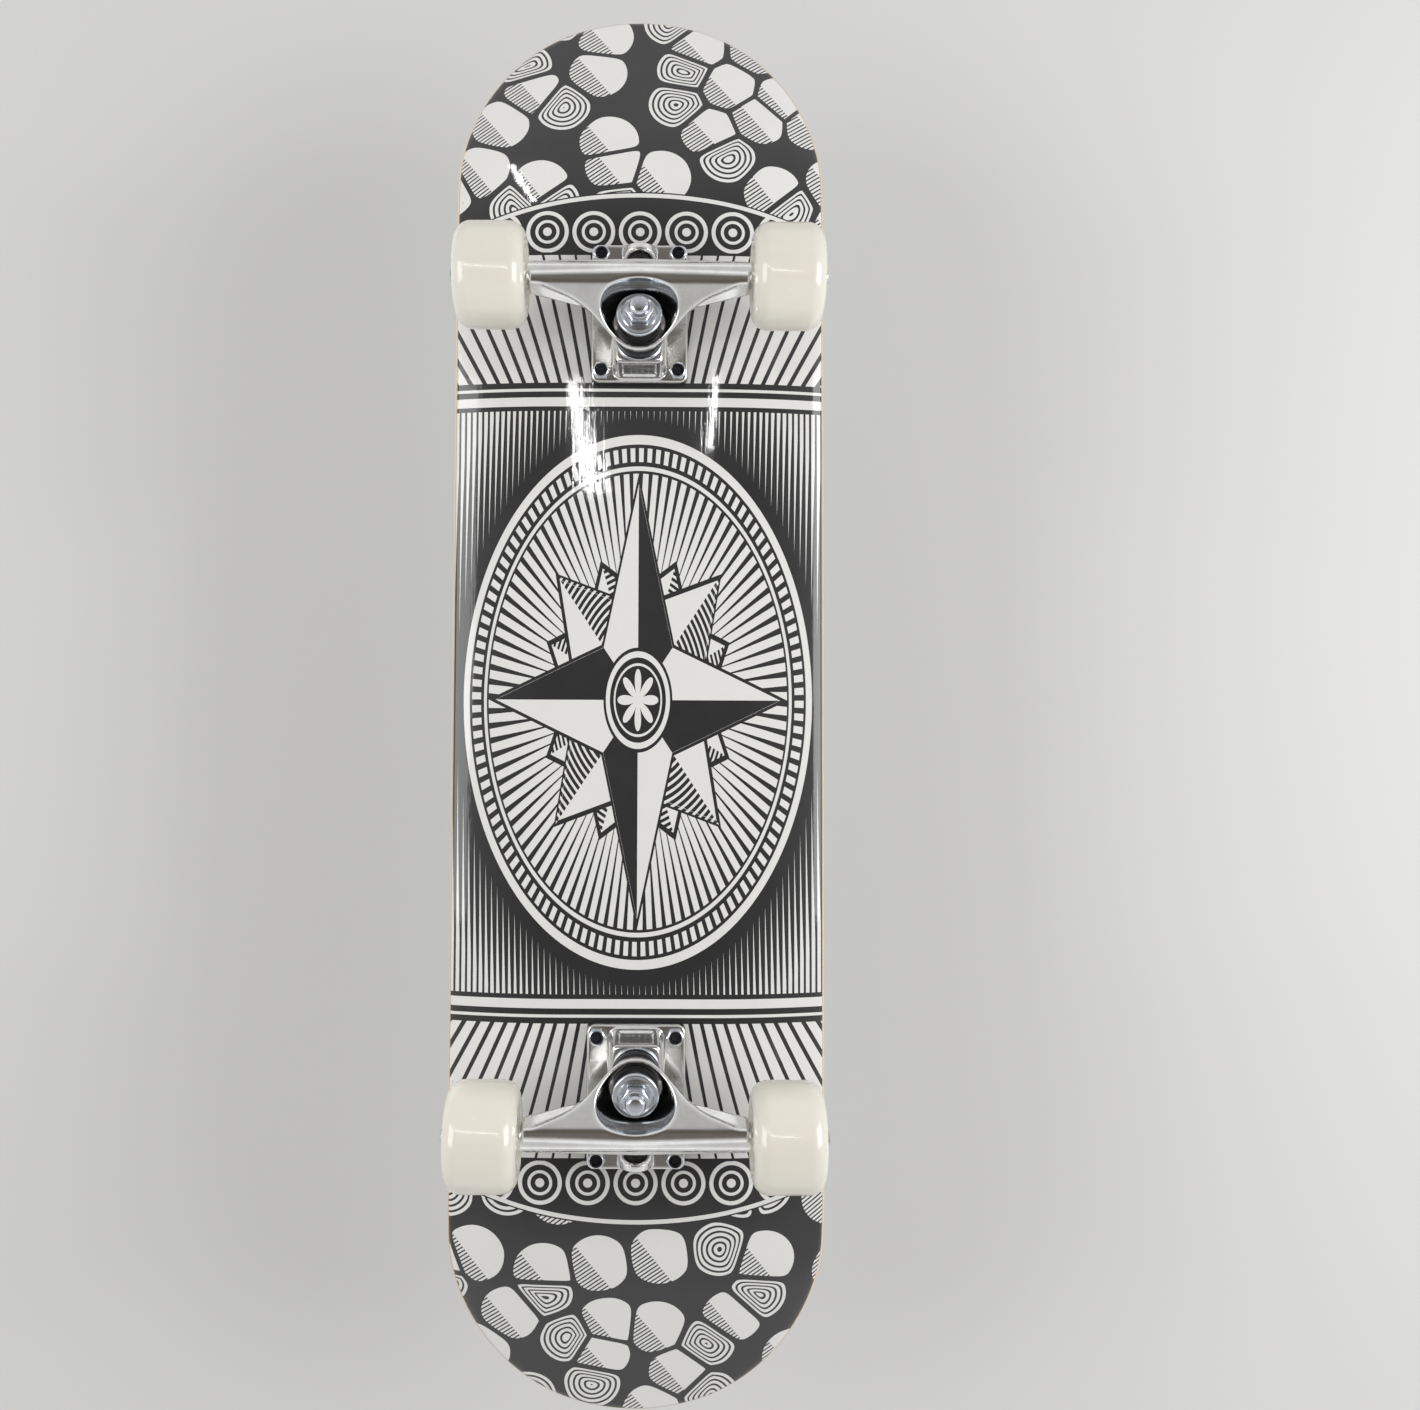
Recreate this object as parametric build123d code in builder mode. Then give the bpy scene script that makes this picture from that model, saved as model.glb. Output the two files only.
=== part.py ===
# Skateboard standing on its wheels, with two sprung trucks and four wheels on ball bearings.
# X runs to the nose, Y to the left side and Z up, from the floor below the middle of the deck.
import os
from math import cos, radians, sin, tan

from build123d import *

os.makedirs("parts", exist_ok=True)

# Clearances
fit = 0.05
moving_gap = 0.4
bolt_gap = 0.3
pick_range = 0.05

# Deck and grip tape
deck_length = 790
deck_width = 203
deck_thickness = 10.5
end_length = 108
kick_margin = 11.5
kick_radius = 180
kick_angle = 21
flat_width = 76
concave_rise = 8.5
edge_round = 3
grip_thickness = 0.8
grip_inset = 3.5
glue_gap = 0.05

# Truck mounting
wheelbase = 354
bolt_spacing_x = 63.5
bolt_spacing_y = 41.3
bolt_diameter = 4.8
bolt_head_diameter = 9.4
bolt_head_depth = 2.8
nut_across = 8.4
nut_height = 4.6
bolt_recess = 1.2
riser_thickness = 3
plate_length = 75
plate_width = 52
plate_corner = 4
plate_thickness = 5

# Truck geometry, measured from the deck's underside and the middle of the bolt pattern
truck_height = 50
axle_reach = 7.2
ring_setback = 14.4
ring_drop = 34
pivot_reach = 28
kingpin_tilt = 12

# Kingpin, washers and bushings
kingpin_diameter = 9.6
kingpin_head_across = 16
kingpin_head_height = 6
kingpin_nut_across = 13
kingpin_nut_height = 7
kingpin_collar_height = 2
kingpin_stub = 3.6
kingpin_chamfer = 0.8
roadside_washer_diameter = 23.8
roadside_washer_rim = 3
boardside_washer_diameter = 25.4
washer_thickness = 1.6
washer_wall = 1.3
boardside_bushing_height = 9.6
boardside_bushing_diameter = 25.2
boardside_bushing_bulge = 0.9
roadside_bushing_height = 10
roadside_bushing_draw = 0.8
wide_length = 4

# Baseplate casting
foot_margin = 1.2
foot_width = 27.5
pad_corner = 3
ramp_panel_width = 18
ramp_panel_height = 10.5
ramp_panel_depth = 0.8
boss_diameter = 17.8
boss_back = 8
boss_front = 0.6
boss_trim = 2.2
casting_round = 0.9

# Pivot cup
pivot_ball_diameter = 7.6
pivot_wall = 4
cup_wall = 1.5

# Hanger casting
hanger_width = 124.8
collar_length = 6.4
collar_diameter = 14
ring_thickness = 6
ring_hole_diameter = 16
ring_rim = 3.4
yoke_draft = 20
wing_angle = 36
wing_sweep = 30
wing_setback = 17
rim_tip_depth = 4.5
bowl_floor_width = 29
bowl_mouth_width = 46
bowl_rim = 2.2
bowl_wall = 1
bar_outer = 8
bar_inner = 9.8
bar_below = 8.5
bar_above = 7
bar_facet_start = 1.4
bar_facet_end = 5.6
bar_swell = 1.4
bar_wing = 14
stem_start = 19
stem_diameter = 18
stem_neck_length = 5
web_thickness = 15

# Axle
axle_diameter = 7.94
axle_chamfer = 0.8
axle_nut_across = 12.7
axle_nut_height = 6.4
axle_stub = 1.4
speed_washer_diameter = 11
speed_washer_thickness = 1

# Wheels and bearings
wheel_diameter = 54
wheel_width = 36
wheel_corner = 8.5
recess_diameter = 32
lip_round = 1.2
hub_bore_diameter = 18
bearing_diameter = 22
bearing_width = 7
spacer_length = 10
spacer_diameter = 10.4
inner_ring_diameter = 12.2
outer_ring_bore = 18.2
ball_diameter = 3.9
ball_count = 7
shield_thickness = 0.5
shield_inset = 0.3

# Levels and stations that follow from the sizes above
axle_z = wheel_diameter / 2
deck_z = axle_z + truck_height
truck_x = (wheelbase + bolt_spacing_x) / 2
kick_start = truck_x + bolt_spacing_x / 2 + kick_margin
plate_top = deck_z - riser_thickness
plate_under = plate_top - plate_thickness
concave_run = (deck_width - flat_width) / 2
bearing_span = 2 * bearing_width + spacer_length
wheel_y = hanger_width / 2 + speed_washer_thickness + bearing_span / 2
outer_washer_y = wheel_y + bearing_span / 2
axle_nut_y = outer_washer_y + speed_washer_thickness
axle_end_y = axle_nut_y + axle_nut_height + axle_stub
arm_end = hanger_width / 2 - collar_length
bearing_y = (spacer_length + bearing_width) / 2
ball_circle = (inner_ring_diameter + outer_ring_bore) / 4

# Kingpin frame: its origin is the middle of the hanger's ring and its Z points at the deck
tilt = radians(kingpin_tilt)
ring_center = (-ring_setback, 0, deck_z - ring_drop)
ring_plane = Plane(ring_center, x_dir=(cos(tilt), 0, sin(tilt)), z_dir=(-sin(tilt), 0, cos(tilt)))
ring_side = Plane(ring_center, x_dir=ring_plane.x_dir, z_dir=(0, -1, 0))
kingpin_axis = Axis(ring_center, ring_plane.z_dir)

# Heights along the kingpin, towards the deck
ring_top = ring_thickness / 2
boardside_seat = ring_top + boardside_bushing_height
pedestal_seat = boardside_seat + washer_thickness
roadside_seat = -ring_top - roadside_bushing_height
kingpin_nut_seat = roadside_seat - washer_thickness
kingpin_end = kingpin_nut_seat - kingpin_nut_height - kingpin_stub
head_lean = kingpin_head_across / 2 / cos(radians(30)) * tan(tilt)
head_top = (ring_drop - riser_thickness) / cos(tilt) - head_lean - bolt_gap
head_seat = head_top - kingpin_head_height

# Pivot cup, sunk in the baseplate below its top
cup_bore = pivot_ball_diameter + 2 * moving_gap
cup_diameter = cup_bore + 2 * cup_wall
pivot_drop = riser_thickness + pivot_wall + cup_diameter / 2

# Steering frame: from the ring to the pivot in the baseplate
pivot_center = (pivot_reach, 0, deck_z - pivot_drop)
steer_vector = Vector(*pivot_center) - Vector(*ring_center)
pivot_distance = steer_vector.length
steer_side = Plane(ring_center, x_dir=steer_vector, z_dir=(0, -1, 0))
pivot_plane = Plane(pivot_center, x_dir=(0, 1, 0), z_dir=steer_vector * -1)
steer_axis = Axis(ring_center, steer_vector)

# Bolts through grip tape, deck, riser and plate
bolt_top = deck_z + deck_thickness + glue_gap + grip_thickness
bolt_hole = bolt_diameter + bolt_gap
bolt_sink = bolt_head_diameter + bolt_gap
bolt_length = bolt_top - plate_under + nut_height - bolt_recess

# Kingpin pedestal, its foot on the plate and the window in the riser over the kingpin's head
seat_center = ring_plane.from_local_coords(Vector(0, 0, pedestal_seat))
head_center = ring_plane.from_local_coords(Vector(0, 0, head_top))
head_x = head_center.X
riser_window = kingpin_head_across / cos(radians(30)) + bolt_gap + plate_thickness
foot_inner = -plate_length / 2 + foot_margin
foot_outer = seat_center.X + boardside_washer_diameter / 2
pad_width = boardside_washer_diameter

# Axle station and the lower edge of its bar in the kingpin frame
axle_plane = Plane((axle_reach, 0, axle_z), x_dir=(1, 0, 0), z_dir=(0, 1, 0))
axle_local = ring_plane.to_local_coords(Vector(axle_reach, 0, axle_z))
bar_edge = ring_plane.to_local_coords(Vector(axle_reach - bar_facet_end, 0, axle_z - bar_below))

# Yoke outline at the level of the bar's lower edge, from which it draws in towards the ring
ring_radius = boardside_bushing_diameter / 2 + ring_rim
yoke_base = bar_edge.Z
yoke_radius = ring_radius + (-rim_tip_depth - yoke_base) * tan(radians(yoke_draft))
yoke_tip = -yoke_radius / sin(radians(wing_angle))
wing_corner_x = axle_local.X - wing_setback
wing_corner_y = (wing_corner_x - yoke_tip) * tan(radians(wing_angle))
wing_root = axle_local.X - bar_facet_end
yoke_back = axle_local.X + (ring_top - yoke_base) * tan(radians(yoke_draft))
rim_slope = (-rim_tip_depth - yoke_base) / (bar_edge.X + ring_radius)
rim_start = -ring_radius - (ring_top + rim_tip_depth) / rim_slope
seat_edge = boardside_bushing_diameter / 2 + casting_round

# Bowl in the kingpin frame: its floor carries the roadside bushing and it flares to its mouth
bowl_back = axle_local.X - axle_diameter / 2 - bowl_wall
bowl_tip = ring_radius - bowl_rim
bowl_levels = ((-ring_top, bowl_floor_width), (yoke_base - casting_round, bowl_mouth_width))

# Where the pieces of a truck and of a wheel stand on the board
truck_spots = {
    "front": Location((truck_x, 0, 0)),
    "rear": Location((-truck_x, 0, 0), (0, 0, 180)),
}
wheel_spots = {
    "front_left": Location((truck_x + axle_reach, wheel_y, axle_z)),
    "front_right": Location((truck_x + axle_reach, -wheel_y, axle_z), (0, 0, 180)),
    "rear_left": Location((-truck_x - axle_reach, wheel_y, axle_z)),
    "rear_right": Location((-truck_x - axle_reach, -wheel_y, axle_z), (0, 0, 180)),
}


def write_copies(piece, name, spots):
    """Write one copy of a finished piece for each place where it is used."""
    for place, spot in spots.items():
        copy = piece.part.moved(spot)
        copy.label = f"{place}_{name}"
        export_step(copy, f"parts/{copy.label}.step")


def pressed_sheet(below, above, inset):
    """A sheet of the deck's pressed form between two heights over its underside."""
    reach = concave_run + edge_round
    lift = concave_rise * (reach / concave_run) ** 2
    flat = flat_width / 2
    kick_axis = Axis((kick_start, 0, deck_z + kick_radius), (0, -1, 0))
    kick_run = (deck_length / 2 - kick_start) / cos(radians(kick_angle))
    with BuildPart() as sheet:
        with BuildSketch(Plane.YZ):
            with BuildLine():
                for side in (1, -1):
                    corners = []
                    for level in (deck_z + below, deck_z + above):
                        bend = (side * (flat + reach / 2), level)
                        corner = (side * (flat + reach), level + lift)
                        Line((0, level), (side * flat, level))
                        Bezier((side * flat, level), bend, corner)
                        corners.append(corner)
                    Line(*corners)
            make_face()
        extrude(amount=kick_start)
        revolve(sheet.faces().sort_by(Axis.X)[-1], axis=kick_axis, revolution_arc=kick_angle)
        extrude(sheet.faces().sort_by(Axis.X)[-1], amount=kick_run)
        mirror(about=Plane.YZ)
        with BuildSketch(Plane.XY):
            Rectangle(deck_length - 2 * end_length, deck_width - 2 * inset)
            with GridLocations(deck_length - 2 * end_length, 0, 2, 1):
                Ellipse(end_length - inset, deck_width / 2 - inset)
        extrude(amount=deck_length, mode=Mode.INTERSECT)
    return sheet


def round_face(plane, diameter, bore=0):
    """A disc or a ring drawn on a plane."""
    with BuildSketch(plane) as face:
        Circle(diameter / 2)
        if bore:
            Circle(bore / 2, mode=Mode.SUBTRACT)
    return face.sketch


def hexagon_face(plane, across, bore=0):
    """A hexagon drawn on a plane, with or without a hole."""
    with BuildSketch(plane) as face:
        RegularPolygon(across / 2, 6, major_radius=False)
        if bore:
            Circle(bore / 2, mode=Mode.SUBTRACT)
    return face.sketch


# Deck
deck_blank = pressed_sheet(0, deck_thickness, 0)
with BuildPart() as deck:
    add(deck_blank.part)
    walls = deck.faces().filter_by(lambda face: abs(face.normal_at().Z) < pick_range)
    rims = walls.edges().filter_by(lambda edge: abs((edge % 0.5).Z) < 1 - pick_range)
    fillet(rims, radius=edge_round)
    with Locations((truck_x, 0, bolt_top), (-truck_x, 0, bolt_top)):
        with GridLocations(bolt_spacing_x, bolt_spacing_y, 2, 2):
            CounterSinkHole(bolt_hole / 2, bolt_sink / 2)
deck.part.label = "deck"
export_step(deck.part, "parts/deck.step")

# Grip tape
grip_under = deck_thickness + glue_gap
grip_blank = pressed_sheet(grip_under, grip_under + grip_thickness, grip_inset)
with BuildPart() as grip_tape:
    add(grip_blank.part)
    with Locations((truck_x, 0, bolt_top), (-truck_x, 0, bolt_top)):
        with GridLocations(bolt_spacing_x, bolt_spacing_y, 2, 2):
            CounterSinkHole(bolt_hole / 2, bolt_sink / 2)
grip_tape.part.label = "grip_tape"
export_step(grip_tape.part, "parts/grip_tape.step")

# Riser pad
with BuildPart() as riser_pad:
    with BuildSketch(Plane.XY.offset(plate_top)):
        RectangleRounded(plate_length, plate_width, plate_corner)
        with GridLocations(bolt_spacing_x, bolt_spacing_y, 2, 2):
            Circle(bolt_hole / 2, mode=Mode.SUBTRACT)
        with Locations((head_x, 0)):
            Circle(riser_window / 2, mode=Mode.SUBTRACT)
    extrude(amount=riser_thickness)
write_copies(riser_pad, "riser_pad", truck_spots)

# Baseplate: plate, pedestal with a ramp, pivot boss, kingpin bore and head pocket
with BuildPart() as baseplate:
    with BuildSketch(Plane.XY.offset(plate_under)):
        RectangleRounded(plate_length, plate_width, plate_corner)
    extrude(amount=plate_thickness)
    rim = baseplate.faces().sort_by(Axis.Z)[0].edges()
    fillet(rim, radius=casting_round)
    with BuildSketch(Plane.XY.offset(plate_under + casting_round)):
        with Locations(((foot_inner + foot_outer) / 2, 0)):
            RectangleRounded(foot_outer - foot_inner, foot_width, plate_corner)
    with BuildSketch(ring_plane.offset(pedestal_seat)):
        RectangleRounded(boardside_washer_diameter + casting_round, pad_width, pad_corner)
    loft(ruled=True)
    extrude(round_face(pivot_plane.offset(-boss_back), boss_diameter), amount=boss_back + boss_front)
    split(bisect_by=Plane.XY.offset(plate_top), keep=Keep.BOTTOM)
    with BuildSketch(Plane.XY.offset(plate_under)):
        with Locations((plate_length / 2 - boss_trim, 0)):
            Rectangle(boss_diameter, boss_diameter, align=(Align.MIN, Align.CENTER))
    extrude(amount=-boss_diameter, mode=Mode.SUBTRACT)
    ramp = baseplate.faces().filter_by(lambda face: face.normal_at().X < -0.5).sort_by(SortBy.AREA)[-1]
    with BuildSketch(Plane(ramp.center(), x_dir=(0, 1, 0), z_dir=ramp.normal_at())):
        RectangleRounded(ramp_panel_width, ramp_panel_height, casting_round)
    extrude(amount=-ramp_panel_depth, mode=Mode.SUBTRACT)
    extrude(round_face(pivot_plane, cup_diameter + 2 * fit), amount=plate_length, mode=Mode.SUBTRACT)
    with Locations(pivot_plane):
        Sphere(cup_diameter / 2 + fit, mode=Mode.SUBTRACT)
    extrude(round_face(ring_plane, kingpin_diameter + 2 * fit), amount=head_top, mode=Mode.SUBTRACT)
    head_pocket = hexagon_face(ring_plane.offset(head_seat), kingpin_head_across + bolt_gap)
    extrude(head_pocket, amount=ring_drop, mode=Mode.SUBTRACT)
    with Locations((0, 0, plate_top)):
        with GridLocations(bolt_spacing_x, bolt_spacing_y, 2, 2):
            Hole(bolt_hole / 2)
write_copies(baseplate, "baseplate", truck_spots)

# Pivot cup
with BuildPart() as pivot_cup:
    extrude(round_face(pivot_plane, cup_diameter), amount=boss_front)
    with Locations(pivot_plane):
        Sphere(cup_diameter / 2)
    extrude(round_face(pivot_plane, cup_bore), amount=cup_diameter, mode=Mode.SUBTRACT)
    with Locations(pivot_plane):
        Sphere(cup_bore / 2, mode=Mode.SUBTRACT)
write_copies(pivot_cup, "pivot_cup", truck_spots)

# Kingpin with its hexagon head
with BuildPart() as kingpin:
    extrude(hexagon_face(ring_plane.offset(head_seat), kingpin_head_across), amount=kingpin_head_height)
    extrude(round_face(ring_plane.offset(kingpin_end), kingpin_diameter), amount=head_seat - kingpin_end)
    tip = kingpin.faces().sort_by(Axis.Z)[0].edges()
    chamfer(tip, length=kingpin_chamfer)
write_copies(kingpin, "kingpin", truck_spots)

# Kingpin nut with its locking collar
with BuildPart() as kingpin_nut:
    nut_bore = kingpin_diameter + 2 * fit
    nut_face = hexagon_face(ring_plane.offset(kingpin_nut_seat), kingpin_nut_across, nut_bore)
    extrude(nut_face, amount=kingpin_collar_height - kingpin_nut_height)
    collar_face = round_face(ring_plane.offset(kingpin_nut_seat), kingpin_nut_across - 2 * fit, nut_bore)
    extrude(collar_face, amount=-kingpin_nut_height)
write_copies(kingpin_nut, "kingpin_nut", truck_spots)

# Cup washer under the nut
with BuildPart() as roadside_washer:
    with BuildSketch(ring_side):
        with BuildLine():
            outer = roadside_washer_diameter / 2
            inner = outer - washer_wall
            bore = kingpin_diameter / 2 + fit
            rim_top = kingpin_nut_seat + roadside_washer_rim
            Polyline(
                (bore, kingpin_nut_seat),
                (outer, kingpin_nut_seat),
                (outer, rim_top),
                (inner, rim_top),
                (inner, roadside_seat),
                (bore, roadside_seat),
                close=True,
            )
        face = make_face()
        fillet(face.vertices().group_by(Axis.X)[-1].sort_by(Axis.Y)[0], radius=casting_round)
    revolve(axis=kingpin_axis)
write_copies(roadside_washer, "roadside_washer", truck_spots)

# Flat washer on the pedestal
with BuildPart() as boardside_washer:
    washer_bore = kingpin_diameter + 2 * fit
    washer_face = round_face(ring_plane.offset(boardside_seat), boardside_washer_diameter, washer_bore)
    extrude(washer_face, amount=washer_thickness)
write_copies(boardside_washer, "boardside_washer", truck_spots)

# Barrel bushing between hanger and pedestal
with BuildPart() as boardside_bushing:
    with BuildSketch(ring_side):
        with BuildLine():
            waist = boardside_bushing_diameter / 2 - boardside_bushing_bulge
            bulge = (boardside_bushing_diameter / 2, (ring_top + boardside_seat) / 2)
            ThreePointArc((waist, ring_top), bulge, (waist, boardside_seat))
            Polyline((waist, boardside_seat), (bore, boardside_seat), (bore, ring_top), (waist, ring_top))
        make_face()
    revolve(axis=kingpin_axis)
write_copies(boardside_bushing, "boardside_bushing", truck_spots)

# Conical bushing between hanger and cup washer
with BuildPart() as roadside_bushing:
    with BuildSketch(ring_side):
        with BuildLine():
            narrow = roadside_washer_diameter / 2 - washer_wall - fit
            wide = narrow + roadside_bushing_draw
            Polyline(
                (bore, -ring_top),
                (wide, -ring_top),
                (wide, -ring_top - wide_length),
                (narrow, roadside_seat + roadside_washer_rim),
                (narrow, roadside_seat),
                (bore, roadside_seat),
                close=True,
            )
        make_face()
    revolve(axis=kingpin_axis)
write_copies(roadside_bushing, "roadside_bushing", truck_spots)

# Hanger: yoke with its ring and bowl, axle bar, collars and pivot stem
with BuildPart() as hanger:
    with BuildSketch(ring_plane.offset(yoke_base)) as yoke_plan:
        with BuildLine():
            Polyline(
                (yoke_back, arm_end),
                (wing_root, arm_end),
                (wing_corner_x, wing_corner_y),
                (yoke_tip, 0),
                (wing_corner_x, -wing_corner_y),
                (wing_root, -arm_end),
                (yoke_back, -arm_end),
                close=True,
            )
        make_face()
        wing_range = (wing_corner_x - pick_range, wing_corner_x + pick_range)
        wing_corners = yoke_plan.vertices().filter_by_position(Axis.X, *wing_range)
        fillet(wing_corners, radius=wing_sweep)
        fillet(yoke_plan.vertices().sort_by(Axis.X)[0], radius=yoke_radius)
    extrude(amount=ring_top - yoke_base, taper=yoke_draft)
    with BuildSketch(ring_side):
        with BuildLine():
            Polyline(
                (rim_start, ring_top),
                (seat_edge, ring_top),
                (axle_local.X, axle_local.Z + bar_above),
                (bar_edge.X, bar_edge.Z),
                close=True,
            )
        make_face()
    extrude(amount=hanger_width, both=True, mode=Mode.INTERSECT)
    for station, swell, wing in ((0, bar_swell, bar_wing), (arm_end, 0, 0)):
        with BuildSketch(Plane((axle_reach, station, axle_z), x_dir=(1, 0, 0), z_dir=(0, -1, 0))):
            with BuildLine():
                Polyline(
                    (bar_outer + swell, 0),
                    (swell - bar_facet_start, -bar_below),
                    (-bar_facet_end, -bar_below),
                    (-bar_inner - wing, 0),
                    (-bar_facet_end, bar_above),
                    (bar_facet_end, bar_above),
                    close=True,
                )
            make_face()
    loft(ruled=True)
    extrude(round_face(axle_plane, collar_diameter), amount=hanger_width / 2)
    mirror(about=Plane.XZ)
    with BuildSketch(steer_side):
        with BuildLine():
            ball = pivot_ball_diameter / 2
            neck = pivot_distance - stem_neck_length
            Polyline(
                (pivot_distance, ball),
                (neck, ball),
                (stem_start, stem_diameter / 2),
                (stem_start, 0),
                (pivot_distance + ball, 0),
            )
            CenterArc((pivot_distance, 0), ball, 0, 90)
        make_face()
    revolve(axis=steer_axis)
    with BuildSketch(Plane.XZ):
        with BuildLine():
            stem_low = steer_side.from_local_coords(Vector(stem_start, 0, 0))
            stem_high = steer_side.from_local_coords(Vector(neck, 0, 0))
            Polyline(
                (stem_low.X, stem_low.Z),
                (stem_high.X, stem_high.Z),
                (axle_reach + bar_facet_end, axle_z + bar_above - casting_round),
                (axle_reach - bar_facet_end, axle_z + bar_above - casting_round),
                close=True,
            )
        make_face()
    extrude(amount=web_thickness / 2, both=True)
    for level, width in bowl_levels:
        with BuildSketch(ring_plane.offset(level)):
            with Locations(((bowl_back - bowl_tip) / 2, 0)):
                Ellipse((bowl_back + bowl_tip) / 2, width / 2)
    loft(ruled=True, mode=Mode.SUBTRACT)
    ring_hole = round_face(ring_plane, ring_hole_diameter)
    extrude(ring_hole, amount=ring_thickness, both=True, mode=Mode.SUBTRACT)
    axle_bore = round_face(axle_plane, axle_diameter + 2 * fit)
    extrude(axle_bore, amount=hanger_width, both=True, mode=Mode.SUBTRACT)
write_copies(hanger, "hanger", truck_spots)

# Axle
with BuildPart() as axle:
    extrude(round_face(axle_plane, axle_diameter), amount=axle_end_y, both=True)
    chamfer(axle.edges(), length=axle_chamfer)
write_copies(axle, "axle", truck_spots)

# Speed washers on both sides of each wheel's bearings
with BuildPart() as speed_washers:
    for station in (hanger_width / 2, outer_washer_y):
        washer = round_face(axle_plane.offset(station), speed_washer_diameter, axle_diameter + 2 * fit)
        extrude(washer, amount=speed_washer_thickness)
    mirror(about=Plane.XZ)
write_copies(speed_washers, "speed_washers", truck_spots)

# Axle nuts with their locking collars
with BuildPart() as axle_nuts:
    nut = hexagon_face(axle_plane.offset(axle_nut_y), axle_nut_across, axle_diameter + 2 * fit)
    extrude(nut, amount=axle_nut_height - kingpin_collar_height)
    collar = round_face(axle_plane.offset(axle_nut_y), axle_nut_across - 2 * fit, axle_diameter + 2 * fit)
    extrude(collar, amount=axle_nut_height)
    mirror(about=Plane.XZ)
write_copies(axle_nuts, "axle_nuts", truck_spots)

# Bearing spacers between the inner rings
with BuildPart() as bearing_spacers:
    spacer = round_face(axle_plane.offset(wheel_y), spacer_diameter, axle_diameter + 2 * fit)
    extrude(spacer, amount=spacer_length / 2, both=True)
    mirror(about=Plane.XZ)
write_copies(bearing_spacers, "bearing_spacers", truck_spots)

# Inner rings of the bearings, with the balls' track
with BuildPart() as bearing_inner_rings:
    for station in (wheel_y - bearing_y, wheel_y + bearing_y):
        track_center = (axle_reach + ball_circle, station)
        with BuildSketch(Plane.XY.offset(axle_z)):
            with Locations((axle_reach + (inner_ring_diameter + axle_diameter) / 4, station)):
                Rectangle((inner_ring_diameter - axle_diameter) / 2 - fit, bearing_width)
            with Locations(track_center):
                Circle(ball_diameter / 2 + fit, mode=Mode.SUBTRACT)
        revolve(axis=Axis((axle_reach, 0, axle_z), (0, 1, 0)))
    mirror(about=Plane.XZ)
write_copies(bearing_inner_rings, "bearing_inner_rings", truck_spots)

# Mounting bolts with countersunk heads
with BuildPart(Plane.XY.offset(bolt_top)) as mounting_bolts:
    with GridLocations(bolt_spacing_x, bolt_spacing_y, 2, 2):
        top_down = (Align.CENTER, Align.CENTER, Align.MAX)
        Cylinder(bolt_diameter / 2, bolt_length, align=top_down)
        Cone(bolt_diameter / 2, bolt_head_diameter / 2, bolt_head_depth, align=top_down)
write_copies(mounting_bolts, "mounting_bolts", truck_spots)

# Mounting nuts
with BuildPart() as mounting_nuts:
    with BuildSketch(Plane.XY.offset(plate_under)):
        with GridLocations(bolt_spacing_x, bolt_spacing_y, 2, 2):
            RegularPolygon(nut_across / 2, 6, major_radius=False)
            Circle(bolt_diameter / 2 + fit, mode=Mode.SUBTRACT)
    extrude(amount=-nut_height)
write_copies(mounting_nuts, "mounting_nuts", truck_spots)

# Wheel
with BuildPart() as wheel:
    with BuildSketch(Plane.XY) as wheel_half:
        with BuildLine():
            seat = bearing_diameter / 2 + fit
            Polyline(
                (hub_bore_diameter / 2, 0),
                (hub_bore_diameter / 2, spacer_length / 2),
                (seat, spacer_length / 2),
                (seat, bearing_span / 2 + casting_round),
                (recess_diameter / 2, wheel_width / 2),
                (wheel_diameter / 2, wheel_width / 2),
                (wheel_diameter / 2, 0),
                close=True,
            )
        make_face()
        shoulder = wheel_half.vertices().group_by(Axis.Y)[-1].sort_by(Axis.X)
        fillet(shoulder[-1], radius=wheel_corner)
        fillet(wheel_half.vertices().group_by(Axis.Y)[-1].sort_by(Axis.X)[0], radius=lip_round)
    revolve(axis=Axis.Y)
    mirror(about=Plane.XZ)
write_copies(wheel, "wheel", wheel_spots)

# Outer rings of the two bearings, with the balls' track
with BuildPart() as bearing_outer_rings:
    with BuildSketch(Plane.XY):
        with Locations(((bearing_diameter + outer_ring_bore) / 4, bearing_y)):
            Rectangle((bearing_diameter - outer_ring_bore) / 2, bearing_width)
        with Locations((ball_circle, bearing_y)):
            Circle(ball_diameter / 2 + fit, mode=Mode.SUBTRACT)
    revolve(axis=Axis.Y)
    mirror(about=Plane.XZ)
write_copies(bearing_outer_rings, "bearing_outer_rings", wheel_spots)

# Balls
with BuildPart(Plane.XZ.offset(-bearing_y)) as bearing_balls:
    with PolarLocations(ball_circle, ball_count):
        Sphere(ball_diameter / 2)
    mirror(about=Plane.XZ)
write_copies(bearing_balls, "bearing_balls", wheel_spots)

# Shields that close both sides of each bearing
with BuildPart() as bearing_shields:
    shield_bore = inner_ring_diameter + 2 * moving_gap
    for station in (spacer_length / 2 + shield_inset, bearing_span / 2 - shield_inset - shield_thickness):
        shield = round_face(Plane.XZ.offset(-station), outer_ring_bore - 2 * fit, shield_bore)
        extrude(shield, amount=-shield_thickness)
    mirror(about=Plane.XZ)
write_copies(bearing_shields, "bearing_shields", wheel_spots)
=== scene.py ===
import math

import bmesh
import bpy
from mathutils import Matrix, Vector


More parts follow.
